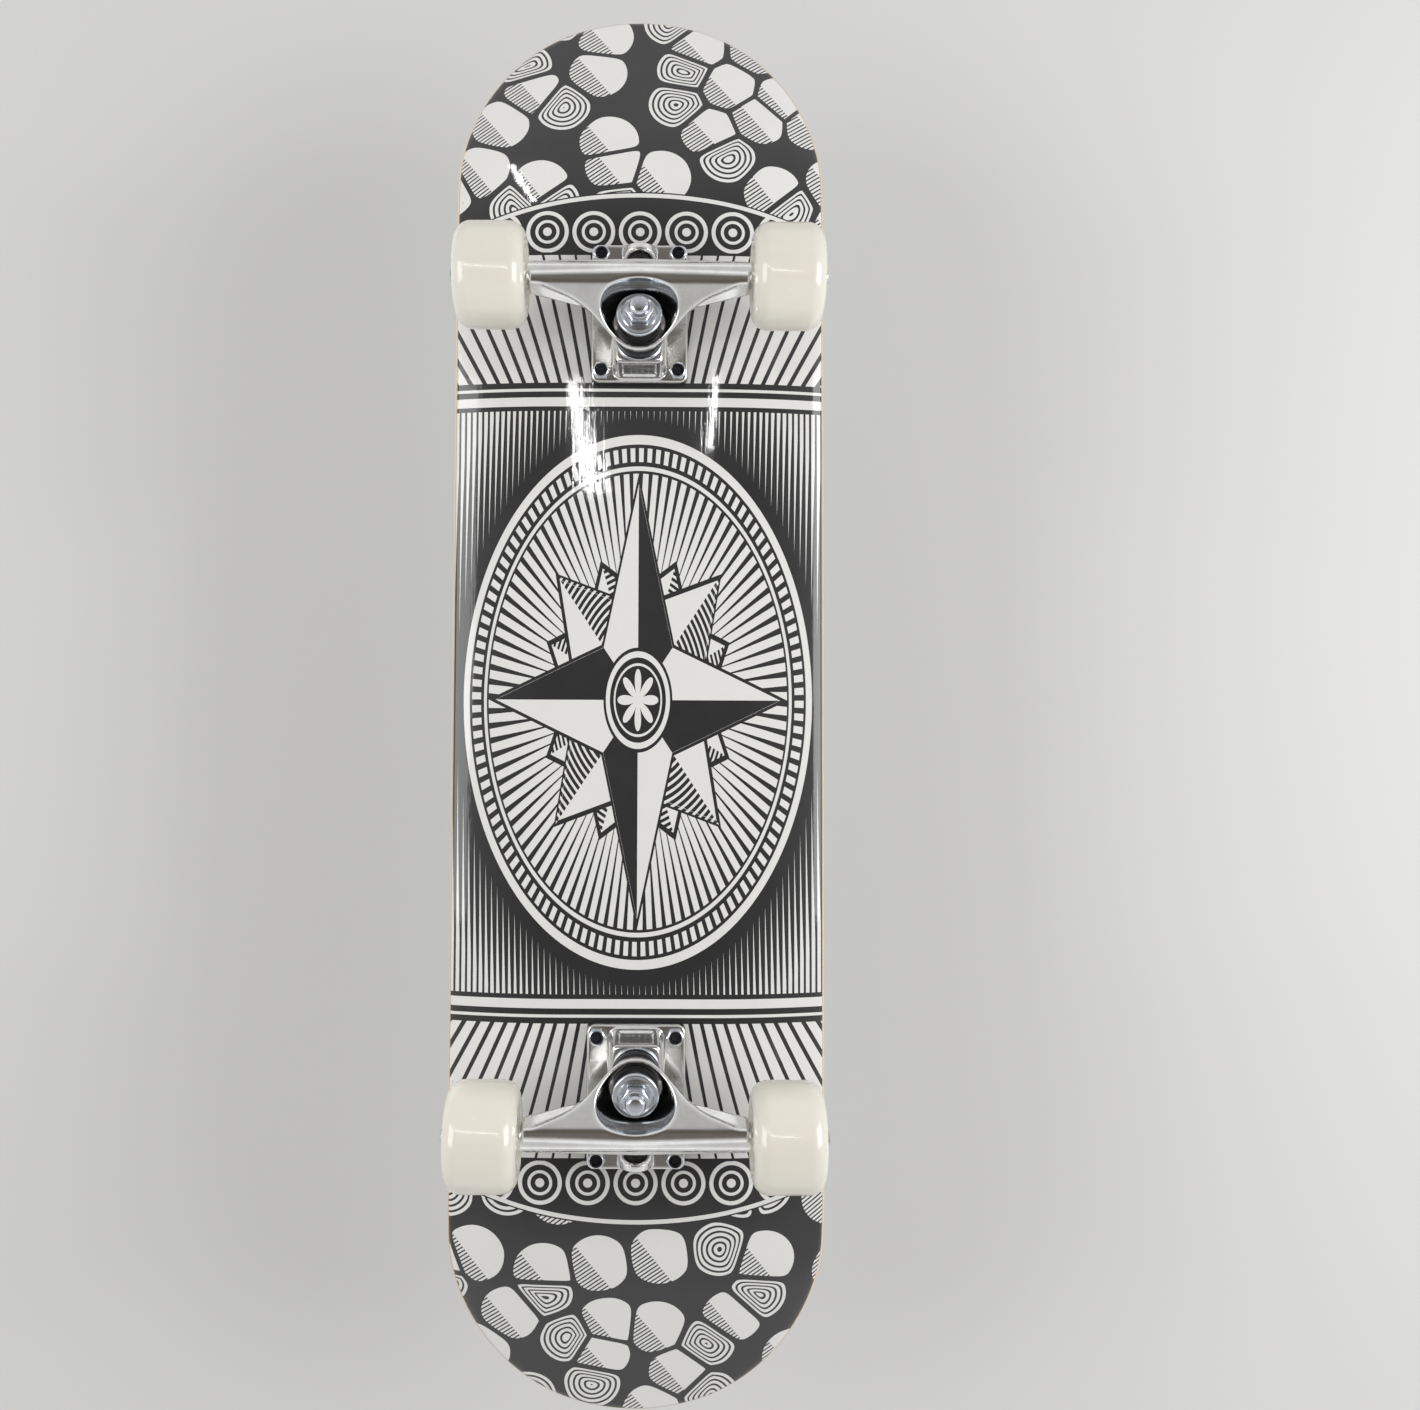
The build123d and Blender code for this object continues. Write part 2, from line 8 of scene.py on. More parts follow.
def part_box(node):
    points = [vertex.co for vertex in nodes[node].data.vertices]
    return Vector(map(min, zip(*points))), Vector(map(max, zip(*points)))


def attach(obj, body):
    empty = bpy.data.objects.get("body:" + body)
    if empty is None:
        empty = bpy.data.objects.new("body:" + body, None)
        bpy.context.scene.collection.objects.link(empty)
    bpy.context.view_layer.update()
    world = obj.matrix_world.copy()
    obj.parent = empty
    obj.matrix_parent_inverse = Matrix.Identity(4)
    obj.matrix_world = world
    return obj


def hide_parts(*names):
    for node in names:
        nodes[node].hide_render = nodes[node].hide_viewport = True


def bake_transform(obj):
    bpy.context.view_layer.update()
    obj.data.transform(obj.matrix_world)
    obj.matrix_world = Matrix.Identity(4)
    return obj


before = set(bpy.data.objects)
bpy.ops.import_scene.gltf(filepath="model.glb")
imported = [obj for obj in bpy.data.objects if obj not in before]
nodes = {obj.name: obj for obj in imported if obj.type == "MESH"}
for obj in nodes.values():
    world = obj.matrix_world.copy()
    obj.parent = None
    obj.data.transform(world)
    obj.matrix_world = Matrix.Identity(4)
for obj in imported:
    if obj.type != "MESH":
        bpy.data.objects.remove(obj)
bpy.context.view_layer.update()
scene = bpy.context.scene

# Deck: cold-pressed maple plies with a shallow concave and a kick at each end.
# The underside is printed in two tones under a hard clear coat, and the sawn
# edge shows the plies. Eight bolts pass through it.
MM = 0.001
deck_underside = 77.0
deck_thickness = 10.5
deck_half_length = 395.0
deck_half_width = 101.5
end_length = 108.0
flat_half_width = 38.0
concave_rise = 8.5
kick_start = 252.0
kick_radius = 180.0
kick_angle = math.radians(21)
edge_round = 3.0
truck_x = 208.75
bolt_x = 31.75
bolt_y = 20.65
bolt_hole_radius = 2.55
ink_dark = (0.022, 0.022, 0.023)
ink_white = (0.715, 0.71, 0.695)


def deck_height(x, y, layer):
    """Height of a layer of the pressed sheet over the floor at a place in plan, in mm."""
    side = max(abs(y) - flat_half_width, 0.0)
    rise = layer + concave_rise * (side / (deck_half_width - flat_half_width)) ** 2
    run = abs(x) - kick_start
    radius = kick_radius - rise
    if run <= 0:
        return deck_underside + rise
    bend = radius * math.sin(kick_angle)
    if run < bend:
        return deck_underside + kick_radius - math.sqrt(radius**2 - run**2)
    slope = (run - bend) * math.tan(kick_angle)
    return deck_underside + kick_radius - radius * math.cos(kick_angle) + slope


def outline_stations(end_steps, middle_steps):
    """Stations along the board: the middle of the end's ellipse or the place itself, and an angle."""
    middle = deck_half_length - end_length
    tail = [(-middle, -math.pi / 2 * (1 - i / end_steps)) for i in range(end_steps)]
    body = [(-middle + 2 * middle * i / middle_steps, 0.0) for i in range(middle_steps + 1)]
    nose = [(middle, math.pi / 2 * (i + 1) / end_steps) for i in range(end_steps)]
    return tail + body + nose


def rim_point(station, side, inset, layer):
    """A point near the edge of the sheet, set in from the outline by an inset."""
    x = station[0] + (end_length - inset) * math.sin(station[1])
    y = side * (deck_half_width - inset) * math.cos(station[1])
    return Vector((x, y, deck_height(x, y, layer))) * MM


def linked(name, data):
    """A new object in the scene."""
    made = bpy.data.objects.new(name, data)
    scene.collection.objects.link(made)
    return made


def new_piece(name, mesh, materials, body, node):
    """A finished mesh as a piece of the board, in the place of a CAD node."""
    piece = linked(name, mesh)
    for material in materials:
        mesh.materials.append(material)
    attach(piece, body)
    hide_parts(node)
    return piece


def taken(work):
    """The mesh of a working object with its modifiers. The object itself goes."""
    mesh = bpy.data.meshes.new_from_object(work.evaluated_get(bpy.context.evaluated_depsgraph_get()))
    bpy.data.objects.remove(work)
    return mesh


def meshed(bm, name):
    """The mesh of a bmesh, which is freed."""
    mesh = bpy.data.meshes.new(name)
    bm.to_mesh(mesh)
    bm.free()
    return mesh


def smoothed(mesh, sharp=35.0):
    """Shade a mesh smooth, but for edges past an angle in degrees."""
    for face in mesh.polygons:
        face.use_smooth = True
    mesh.set_sharp_from_angle(angle=math.radians(sharp))
    return mesh


def pressed_board(name, low, high, inset, round_size):
    """A pressed sheet between two layers, with a rounded rim. Underside, rim and top are slots 0 to 2."""
    rim_steps = 5
    printed_steps = 2
    across_steps = 44
    stations = outline_stations(end_steps=30, middle_steps=110)
    bm = bmesh.new()
    ply = bm.verts.layers.float.new("ply_height")

    def corner(point, layer):
        vert = bm.verts.new(point)
        vert[ply] = layer
        return vert

    def strip(lower, upper, index):
        for i in range(len(lower) - 1):
            face = bm.faces.new((lower[i], lower[i + 1], upper[i + 1], upper[i]))
            face.material_index = index

    arc = [math.pi / 2 * i / rim_steps for i in range(rim_steps + 1)]
    profile = [(round_size * (1 - math.sin(a)), low + round_size * (1 - math.cos(a))) for a in arc]
    profile += [(round_size * (1 - math.cos(a)), high - round_size * (1 - math.sin(a))) for a in arc]
    rims = {}
    for side in (-1, 1):
        rims[side] = [
            [corner(rim_point(station, side, inset + set_in, layer), layer) for station in stations]
            for set_in, layer in profile
        ]
        for step in range(len(profile) - 1):
            strip(rims[side][step], rims[side][step + 1], 0 if step < printed_steps else 1)
    for step, layer, index in ((0, low, 0), (-1, high, 2)):
        rows = []
        for left, right in zip(rims[-1][step], rims[1][step]):
            x = left.co.x
            row = [left]
            for j in range(1, across_steps):
                y = left.co.y + (right.co.y - left.co.y) * j / across_steps
                row.append(corner((x, y, deck_height(x / MM, y / MM, layer) * MM), layer))
            rows.append(row + [right])
        for first, second in zip(rows, rows[1:]):
            strip(first, second, index)
    bmesh.ops.remove_doubles(bm, verts=bm.verts, dist=1e-6)
    bmesh.ops.recalc_face_normals(bm, faces=bm.faces)
    return smoothed(meshed(bm, name), sharp=40)


class Field:
    """A value that changes over a surface, written as arithmetic on shader sockets."""

    def __init__(self, tree, socket):
        self.tree = tree
        self.socket = socket

    def calc(self, operation, *others):
        math_node = self.tree.nodes.new("ShaderNodeMath")
        math_node.operation = operation
        for socket, value in zip(math_node.inputs, (self, *others)):
            put(value, socket)
        return Field(self.tree, math_node.outputs[0])

    def __add__(self, other):
        return self.calc("ADD", other)

    def __sub__(self, other):
        return self.calc("SUBTRACT", other)

    def __mul__(self, other):
        return self.calc("MULTIPLY", other)

    def __truediv__(self, other):
        return self.calc("DIVIDE", other)

    def __mod__(self, other):
        return self.calc("FLOORED_MODULO", other)

    def __gt__(self, other):
        return self.calc("GREATER_THAN", other)

    def __lt__(self, other):
        return self.calc("LESS_THAN", other)

    def __abs__(self):
        return self.calc("ABSOLUTE")

    def either(self, other):
        return self.calc("MAXIMUM", other)

    both = __mul__

    def without(self, other):
        return self.both((other * -1.0) + 1.0)

    def band(self, middle, width):
        return abs(self - middle) < width / 2

    def span(self, other):
        return (self * self + other * other).calc("SQRT")

    def ramp(self, low, high, to_low=0.0, to_high=1.0):
        limits = {"From_Min": low, "From_Max": high, "To_Min": to_low, "To_Max": to_high}
        return wire(self.tree, "ShaderNodeMapRange", "Result", Value=self, **limits)


def put(value, socket):
    """Link a field to a socket, or set a constant on it."""
    if isinstance(value, Field):
        value.tree.links.new(value.socket, socket)
    else:
        socket.default_value = value


def dress(node, **values):
    """Link or set inputs of a node, each named with an underscore for a space."""
    for key, value in values.items():
        put(value, node.inputs[key.replace("_", " ")])


def wire(tree, kind, outputs, settings=None, **inputs):
    """Add a node, set its options and inputs, and give its named output, or several, as fields."""
    made = tree.nodes.new(kind)
    for key, value in (settings or {}).items():
        setattr(made, key, value)
    dress(made, **inputs)
    if isinstance(outputs, str):
        return Field(tree, made.outputs[outputs])
    return [Field(tree, made.outputs[key]) for key in outputs]


def new_material(name):
    """A material with its tree."""
    material = bpy.data.materials.new(name)
    material.use_nodes = True
    return material, material.node_tree


def finished(material, **values):
    """The material, with inputs of its Principled shader linked or set."""
    dress(material.node_tree.nodes["Principled BSDF"], **values)
    return material


def place(tree, scale=(1.0, 1.0, 1.0), turn=(0.0, 0.0, 0.0)):
    """Object coordinates, scaled and turned for a pattern."""
    point = wire(tree, "ShaderNodeTexCoord", "Object")
    return wire(tree, "ShaderNodeMapping", "Vector", Vector=point, Scale=scale, Rotation=turn)


def tint(share, first, second):
    """A colour between two, by a share from 0 to 1."""
    made = share.tree.nodes.new("ShaderNodeMix")
    made.data_type = "RGBA"
    put(share, made.inputs["Factor"])
    colour_sockets = [s for s in made.inputs if s.type == "RGBA"]
    for socket, value in zip(colour_sockets, (first, second)):
        put(value if isinstance(value, Field) else (*value, 1.0), socket)
    return Field(share.tree, next(s for s in made.outputs if s.type == "RGBA"))


def bump(height, strength, distance):
    """The normal of a surface that has a height."""
    values = {"Strength": strength, "Distance": distance}
    return wire(height.tree, "ShaderNodeBump", "Normal", Height=height, **values)


def noise(where, scale, detail=3.0, roughness=0.55):
    """Noise from 0 to 1."""
    values = {"Scale": scale, "Detail": detail, "Roughness": roughness}
    return wire(where.tree, "ShaderNodeTexNoise", "Fac", Vector=where, **values)


def star(reach, angle, points, tip, root):
    """A star of pointed rays: its inside, the half of each ray that is shaded, and the depth in a ray."""
    half = math.pi / points
    folded = ((angle + half) % (2 * half)) - half
    spread = abs(folded)
    along = reach * spread.calc("COSINE")
    aside = reach * spread.calc("SINE")
    slope = (root * math.cos(half) - tip) / (root * math.sin(half))
    edge = aside * slope + tip
    return along < edge, folded > 0.0, edge - along


def printed_underside():
    """Two-tone print under a clear coat: stones at the ends, rays at the trucks and a compass star."""
    material, tree = new_material("printed_underside")
    point = place(tree, (1 / MM, 1 / MM, 1 / MM))
    east, north = wire(tree, "ShaderNodeSeparateXYZ", ("X", "Y"), Vector=point)
    flat_point = wire(tree, "ShaderNodeCombineXYZ", "Vector", X=east, Y=north)
    away = abs(east)
    aside = abs(north)

    # Rounded stones: some hatched in their shade, some with rings like cut agate
    stone_size = 31
    cell = {"Vector": flat_point, "Scale": 1 / stone_size, "Randomness": 0.85}
    flat = {"voronoi_dimensions": "2D"}
    gap = wire(tree, "ShaderNodeTexVoronoi", "Distance", flat | {"feature": "DISTANCE_TO_EDGE"}, **cell)
    stone_parts = ("Distance", "Color", "Position")
    core, colour, middle = wire(tree, "ShaderNodeTexVoronoi", stone_parts, flat, **cell)
    middle_x, middle_y = wire(tree, "ShaderNodeSeparateXYZ", ("X", "Y"), Vector=middle)
    draw, spin = wire(tree, "ShaderNodeSeparateColor", ("Red", "Green"), Color=colour)
    local_x = east - middle_x
    local_y = north - middle_y
    inset = gap.calc("SMOOTH_MIN", core * -0.6 + 0.36, 0.12)
    pebble = inset > 0.04
    shade = (local_x * -0.6 + local_y * -0.8) > (spin * 3.0 + 2.2)
    hatch = ((local_x * 0.8 + local_y * -0.6) % 2.0) < 0.8
    plain_stone = pebble.without(shade.both(hatch))
    agate = pebble.both(((inset * 17.0) % 1.0) < 0.6)
    is_agate = draw > 0.66
    stones = plain_stone.without(is_agate).either(agate.both(is_agate))

    # Rays behind the trucks, with a row of scallops at their outer end
    ray_angle = north.calc("ARCTAN2", away - 20.0)
    ray_width = away.ramp(160.0, 262.0, 0.62, 0.9)
    rays = ((ray_angle * 26.0) % 1.0) < ray_width
    scallop_width = 25.4
    scallop = ((north + scallop_width / 2) % scallop_width) - scallop_width / 2
    scallop_reach = scallop.span(away - 256.0)
    scallop_rings = scallop_reach.band(10.6, 2.2).either(scallop_reach.band(5.8, 1.6))
    scallops = scallop_rings.either(scallop_reach < 2.4)

    # White medallion with a dark compass star, on a dark field with engraved edges
    medallion_stretch = 1.52
    hub_radius = 18.6
    star_radius = 80.8
    engraved_radius = 97.0
    engraved_pitch = 3.2
    stretched = east / medallion_stretch
    reach = stretched.span(north)
    angle = north.calc("ARCTAN2", stretched)
    main, main_shade, main_depth = star(reach, angle, 4, tip=79.0, root=27.0)
    minor, minor_shade, minor_depth = star(reach, angle + math.pi / 4, 4, tip=62.0, root=33.0)
    fine, fine_shade, fine_depth = star(reach, angle + math.pi / 8, 8, tip=52.0, root=38.0)
    main_ink = main.without(main_shade.both(main_depth > 2.2)).without(main_depth < 2.0)
    minor_ink = minor.without(minor_shade.both(minor_depth > 2.0)).without(minor_depth < 1.8)
    minor_ink = minor_ink.either(minor.both(minor_shade).both(((reach + abs(angle) * 4.0) % 2.6) < 1.1))
    fine_ink = fine.without(fine_depth < 1.4).without(fine_shade.both((reach % 2.2) < 1.2))
    burst_width = reach.ramp(34.0, 80.0, 0.02, 0.42)
    burst = ((angle * (48 / math.pi)) % 1.0) > burst_width
    star_ink = burst.without(fine_depth > -1.6).either(fine_ink)
    star_ink = star_ink.without(minor_depth > -1.6).either(minor_ink)
    star_ink = star_ink.without(main_depth > -2.0).either(main_ink)
    petals = reach < (abs((angle * 4.0).calc("COSINE")) * 8.5 + 2.5)
    hub_ink = reach.band(16.2, 2.2).either(petals).either(reach.band(12.6, 0.9))
    star_ink = star_ink.without(reach < hub_radius).either(hub_ink)
    ticks = (((angle * (60 / math.pi)) % 1.0) < 0.55).both(reach > 85.0).both(reach < 90.0)
    rings = reach.band(93.0, 3.4).either(reach.band(82.6, 1.6)).either(ticks)
    engraved_width = reach.ramp(100.0, 128.0, 0.0, 0.62) * engraved_pitch
    engraved = ((north + engraved_pitch / 2) % engraved_pitch) < engraved_width
    engraved = engraved.both(reach > engraved_radius)
    centre = star_ink.both(reach < star_radius).either(rings).either(engraved)

    # Frames that part the fields
    stone_edge = (north * north) * -0.0022 + 276.0
    field = centre.both(away < 157.0)
    field = field.either(away.band(162.0, 5.0)).either(away.band(168.5, 1.6))
    field = field.either(rays.both(away > 172.5).both(away < 243.0))
    field = field.either(scallops.both(away > 244.5).both(away < 268.0))
    field = field.without(away > stone_edge).either(stones.both(away > (stone_edge + 3.0)))
    field = field.either((away - stone_edge).band(1.0, 2.4))

    # Worn and uneven ink
    patchy = noise(point, 0.02, 5.0, 0.7)
    flecks = noise(point, 0.5, 4.0, 0.75)
    edge_loss = aside.ramp(88.0, 103.0, 0.0, 0.16)
    ink = field.without((flecks + edge_loss) > 0.79)
    tone = patchy.ramp(0.3, 0.75)
    dark = tint(tone, ink_dark, [v * 1.28 for v in ink_dark])
    white = tint(tone, ink_white, [v * 0.95 for v in ink_white])

    # Clear coat that lets the veneer's grain through
    grain = noise(place(tree, (22.0, 420.0, 420.0)), 1.0, 4.0)
    peel = noise(point, 0.28, 2.0)
    relief = bump(grain + peel * 0.6, 0.045, 0.0006)
    return finished(
        material,
        Base_Color=tint(ink, dark, white),
        Roughness=patchy.ramp(0.25, 0.8, 0.3, 0.42),
        Specular_IOR_Level=0.15,
        Coat_Weight=1.0,
        Coat_Roughness=0.045,
        Normal=relief,
        Coat_Normal=relief,
    )


def ply_edge():
    """Sawn and sealed ply: light and dark veneers with end grain."""
    material, tree = new_material("ply_edge")
    veneer_thickness = 1.5
    layer = wire(tree, "ShaderNodeAttribute", "Fac", {"attribute_name": "ply_height"})
    wobble = noise(place(tree, (60.0, 60.0, 60.0)), 1.0)
    veneer = (layer + wobble * 0.35) / veneer_thickness
    odd = ((veneer / 2.0) % 1.0) < 0.5
    seam = abs((veneer % 1.0) - 0.5) > 0.44
    fibre = noise(place(tree, (90.0, 90.0, 900.0)), 6.0, 4.0, 0.7)
    light = tint(fibre, (0.66, 0.50, 0.33), (0.78, 0.66, 0.48))
    deep = tint(fibre, (0.47, 0.32, 0.19), (0.60, 0.45, 0.29))
    return finished(
        material,
        Base_Color=tint(seam * 0.55, tint(odd, light, deep), (0.25, 0.15, 0.08)),
        Roughness=fibre.ramp(0.2, 0.8, 0.38, 0.6),
        Normal=bump(fibre + seam * -0.5, 0.25, 0.0003),
    )


def top_veneer():
    """Stained veneer that shows as a narrow rim round the grip tape."""
    material, tree = new_material("top_veneer")
    fibre = noise(place(tree, (8.0, 220.0, 220.0)), 2.0, 5.0, 0.65)
    return finished(
        material,
        Base_Color=tint(fibre, (0.50, 0.35, 0.21), (0.70, 0.55, 0.37)),
        Roughness=fibre.ramp(0.2, 0.8, 0.35, 0.55),
        Normal=bump(fibre, 0.2, 0.0003),
    )


def drill(mesh, places, radius, low, high):
    """Cut round holes through a mesh, from one level to another."""
    cutter = bmesh.new()
    for x, y in places:
        bmesh.ops.create_cone(
            cutter,
            cap_ends=True,
            segments=32,
            radius1=radius * MM,
            radius2=radius * MM,
            depth=(high - low) * MM,
            matrix=Matrix.Translation((x * MM, y * MM, (low + high) / 2 * MM)),
        )
    tool = linked("cutter", meshed(cutter, "cutter"))
    work = linked("work", mesh)
    cut = work.modifiers.new("cut", "BOOLEAN")
    cut.operation = "DIFFERENCE"
    cut.object = tool
    result = taken(work)
    bpy.data.objects.remove(tool)
    return result


bolt_places = [
    (end * truck_x + i * bolt_x, j * bolt_y) for end in (1, -1) for i in (1, -1) for j in (1, -1)
]
drill_start = deck_underside - 5
drill_stop = deck_underside + deck_thickness + 5
deck_mesh = pressed_board("deck_board", 0.0, deck_thickness, 0.0, edge_round)
deck_mesh = drill(deck_mesh, bolt_places, bolt_hole_radius, drill_start, drill_stop)
deck_finish = (printed_underside(), ply_edge(), top_veneer())
deck_board = new_piece("deck_board", deck_mesh, deck_finish, "board", "deck")


# Grip tape: a sheet of black abrasive paper stuck on the whole top of the deck,
# trimmed a little inside the edge. Mineral grit stands out of it and glints.
grip_under = deck_thickness + 0.05
grip_top = grip_under + 0.8
grip_inset = 3.5
grip_round = 0.15
bolt_head_radius = 4.7
grip_hole_radius = bolt_head_radius + 0.15


def grip_paper():
    """Black grit on paper, with glints and dust."""
    material, tree = new_material("grip_paper")
    point = place(tree)
    grit = noise(point, 900.0, 2.0, 0.8)
    core, colour = wire(tree, "ShaderNodeTexVoronoi", ("Distance", "Color"), Vector=point, Scale=1300.0)
    draw = wire(tree, "ShaderNodeSeparateColor", "Red", Color=colour)
    glint = (draw > 0.93).both(core < 0.45)
    dust = noise(point, 14.0, 5.0, 0.7).ramp(0.5, 0.85, 0.0, 0.35)
    black = tint(grit, (0.008, 0.008, 0.009), (0.032, 0.032, 0.034))
    glinting = tint(glint, black, (0.16, 0.16, 0.17))
    return finished(
        material,
        Base_Color=tint(dust, glinting, (0.085, 0.08, 0.075)),
        Roughness=glint.ramp(0.0, 1.0, 0.92, 0.35),
        Normal=bump(grit - core * 0.7, 0.9, 0.0005),
    )


grip_mesh = pressed_board("grip_sheet", grip_under, grip_top, grip_inset, grip_round)
grip_low = deck_underside + grip_under
grip_mesh = drill(grip_mesh, bolt_places, grip_hole_radius, grip_low - 3, grip_low + 5)
for face in grip_mesh.polygons:
    face.material_index = 0
new_piece("grip_sheet", grip_mesh, (grip_paper(),), "board", "grip_tape")


# Riser pads: moulded black rubber between deck and baseplate, with the plate's outline.
# They are soft, so their skin is dull with a fine moulded grain.
def merged_copy(node):
    """A copy of a solid's triangles with shared corners, as a mesh object for modifiers."""
    bm = bmesh.new()
    bm.from_mesh(nodes[node].data)
    bmesh.ops.remove_doubles(bm, verts=bm.verts, dist=2e-6)
    flat_angle = math.radians(0.5)
    bmesh.ops.dissolve_limit(bm, angle_limit=flat_angle, verts=bm.verts, edges=bm.edges, delimit=set())
    bm.verts.index_update()
    mesh = bpy.data.meshes.new(node)
    mesh.from_pydata([v.co[:] for v in bm.verts], [], [[v.index for v in f.verts] for f in bm.faces])
    bm.free()
    return linked("work", mesh)


def rubber(name, colour, roughness, grain):
    """Moulded rubber with a fine grain and a dusty bloom."""
    material, tree = new_material(name)
    point = place(tree)
    fine = noise(point, grain, 3.0, 0.7)
    bloom = noise(point, 60.0, 4.0, 0.6).ramp(0.45, 0.8)
    return finished(
        material,
        Base_Color=tint(bloom, colour, [v * 1.5 + 0.006 for v in colour]),
        Roughness=fine.ramp(0.2, 0.8, roughness - 0.1, roughness + 0.12),
        Specular_IOR_Level=0.2,
        Normal=bump(fine, 0.2, 0.0002),
    )


ends = ("front", "rear")
pad_edge = 40.0
riser_rubber = rubber("riser_rubber", (0.018, 0.018, 0.019), 0.6, 900.0)
for end in ends:
    pad = merged_copy(end + "_riser_pad")
    ease = pad.modifiers.new("ease", "BEVEL")
    ease.width = 0.3 * MM
    ease.segments = 2
    ease.angle_limit = math.radians(pad_edge)
    pad_mesh = smoothed(taken(pad), pad_edge)
    new_piece(end + "_pad", pad_mesh, (riser_rubber,), "board", end + "_riser_pad")


# Baseplates: die-cast alloy plates with a sloping pedestal for the kingpin and a boss for the
# pivot cup, tumbled and polished. The pedestal's front has a shallow panel.
def polish_group():
    """Marks of polishing and handling: fine scratches, smears and cast pitting."""
    group = bpy.data.node_groups.new("polish_marks", "ShaderNodeTree")
    for name in ("Scratch Scale", "Smear Scale"):
        group.interface.new_socket(name, in_out="INPUT", socket_type="NodeSocketFloat")
    for name in ("Scratches", "Smears", "Pits"):
        group.interface.new_socket(name, in_out="OUTPUT", socket_type="NodeSocketFloat")
    sizes = {s.name: Field(group, s) for s in group.nodes.new("NodeGroupInput").outputs if s.name}
    scratches = None
    for turn in (0.3, 1.25, 2.2):
        where = place(group, (1.0, 0.05, 0.4), (0.2, turn, turn))
        lines = noise(where, sizes["Scratch Scale"], 2.0, 0.6).ramp(0.62, 0.74)
        scratches = lines if scratches is None else scratches.either(lines)
    smears = noise(place(group), sizes["Smear Scale"], 5.0, 0.62).ramp(0.35, 0.72)
    pits = noise(place(group), 700.0, 2.0, 0.6).ramp(0.7, 0.82)
    dress(group.nodes.new("NodeGroupOutput"), Scratches=scratches, Smears=smears, Pits=pits)
    return group


polish_marks = polish_group()


def metal(name, colour, dull, roughness, scratch=0.08, pit=0.25, scratch_scale=400.0, smear_scale=60.0):
    """Bare metal with polishing marks and a slightly tarnished tone."""
    material, tree = new_material(name)
    marks = ("Scratches", "Smears", "Pits")
    scales = {"Scratch_Scale": scratch_scale, "Smear_Scale": smear_scale}
    scratches, smears, pits = wire(tree, "ShaderNodeGroup", marks, {"node_tree": polish_marks}, **scales)
    return finished(
        material,
        Base_Color=tint(smears, colour, dull),
        Metallic=1.0,
        Roughness=smears.ramp(0.0, 1.0, roughness * 0.75, roughness * 1.35) + scratches * 0.1,
        Normal=bump(scratches * -scratch - pits * pit, 0.35, 0.0002),
    )


def cast(node, voxel, rounds):
    """A casting: a copy of the solid with its edges rounded as a mould and a tumbler leave them."""
    work = merged_copy(node)
    for step in ("first", "second"):
        skin = work.modifiers.new(step + "_skin", "REMESH")
        skin.mode = "VOXEL"
        skin.voxel_size = voxel * MM
        ease = work.modifiers.new(step + "_ease", "SMOOTH")
        ease.factor = 0.5
        ease.iterations = rounds
    return smoothed(taken(work), sharp=180)


plate_alloy = metal("plate_alloy", (0.84, 0.84, 0.83), (0.68, 0.67, 0.65), 0.16)
for end in ends:
    plate_mesh = cast(end + "_baseplate", voxel=0.42, rounds=9)
    new_piece(end + "_plate", plate_mesh, (plate_alloy,), "board", end + "_baseplate")


# Pivot cups: small black rubber thimbles in the baseplate's boss, in which the hanger's ball
# end turns. They are pressed in, and only their mouth shows.
cup_rubber = rubber("cup_rubber", (0.016, 0.016, 0.017), 0.5, 1200.0)
for end in ends:
    cup_mesh = smoothed(taken(merged_copy(end + "_pivot_cup")))
    new_piece(end + "_cup", cup_mesh, (cup_rubber,), "board", end + "_pivot_cup")


# Kingpins: plated steel bolts, dropped through the pedestal from above. Their hexagon head sits in
# a pocket of the plate, and the rolled thread ends in a dome under the lock nut.
kingpin_radius = 4.8
kingpin_head = 16.0
kingpin_head_top = 29.43
kingpin_head_seat = 23.43
kingpin_thread = -12.0
kingpin_end = -25.2
dome_rise = 0.9
ring_centre = (-14.4, 0.0, 43.0)
kingpin_tilt = math.radians(12)
truck_frames = {
    "front": Matrix.Translation((truck_x, 0, 0)),
    "rear": Matrix.Translation((-truck_x, 0, 0)) @ Matrix.Rotation(math.pi, 4, "Z"),
}
kingpin_frame = Matrix.Translation(ring_centre) @ Matrix.Rotation(-kingpin_tilt, 4, "Y")


def eased(corners, steps=4):
    """An outline from corners of radius, height and rounding. The arcs share the sides between them."""
    points = [Vector(corner[:2]) for corner in corners]
    count = len(points)
    turns = [(points[i - 1] - points[i]).angle(points[(i + 1) % count] - points[i]) for i in range(count)]
    wanted = [corner[2] / math.tan(turn / 2) for corner, turn in zip(corners, turns)]
    outline = []
    for i, corner in enumerate(points):
        reach = wanted[i]
        sides = []
        for j in (i - 1, (i + 1) % count):
            side = points[j] - corner
            reach = min(reach, side.length * wanted[i] / max(wanted[i] + wanted[j], side.length))
            sides.append(side.normalized())
        weight = math.sin(turns[i] / 2)
        for step in range(steps + 1 if reach else 1):
            t = step / steps
            shares = ((1 - t) ** 2, 2 * weight * t * (1 - t), t**2)
            spots = (corner + sides[0] * reach, corner, corner + sides[1] * reach)
            point = sum((spot * share for spot, share in zip(spots, shares)), Vector((0, 0))) / sum(shares)
            outline.append((point.x, point.y))
    return outline


def hexagon(across, low, high):
    """Stations of a hexagon with chamfered ends: limiting radius, height and width across flats."""
    steps = 3
    face = across / 2 * 0.97
    corner = across / 2 / math.cos(math.pi / 6)
    slope = (corner - face) * math.tan(math.pi / 6)
    rise = [(face + (corner - face) * i / steps, low + slope * i / steps, across) for i in range(steps + 1)]
    fall = [(radius, high - (height - low), across) for radius, height, _ in reversed(rise)]
    return rise + fall


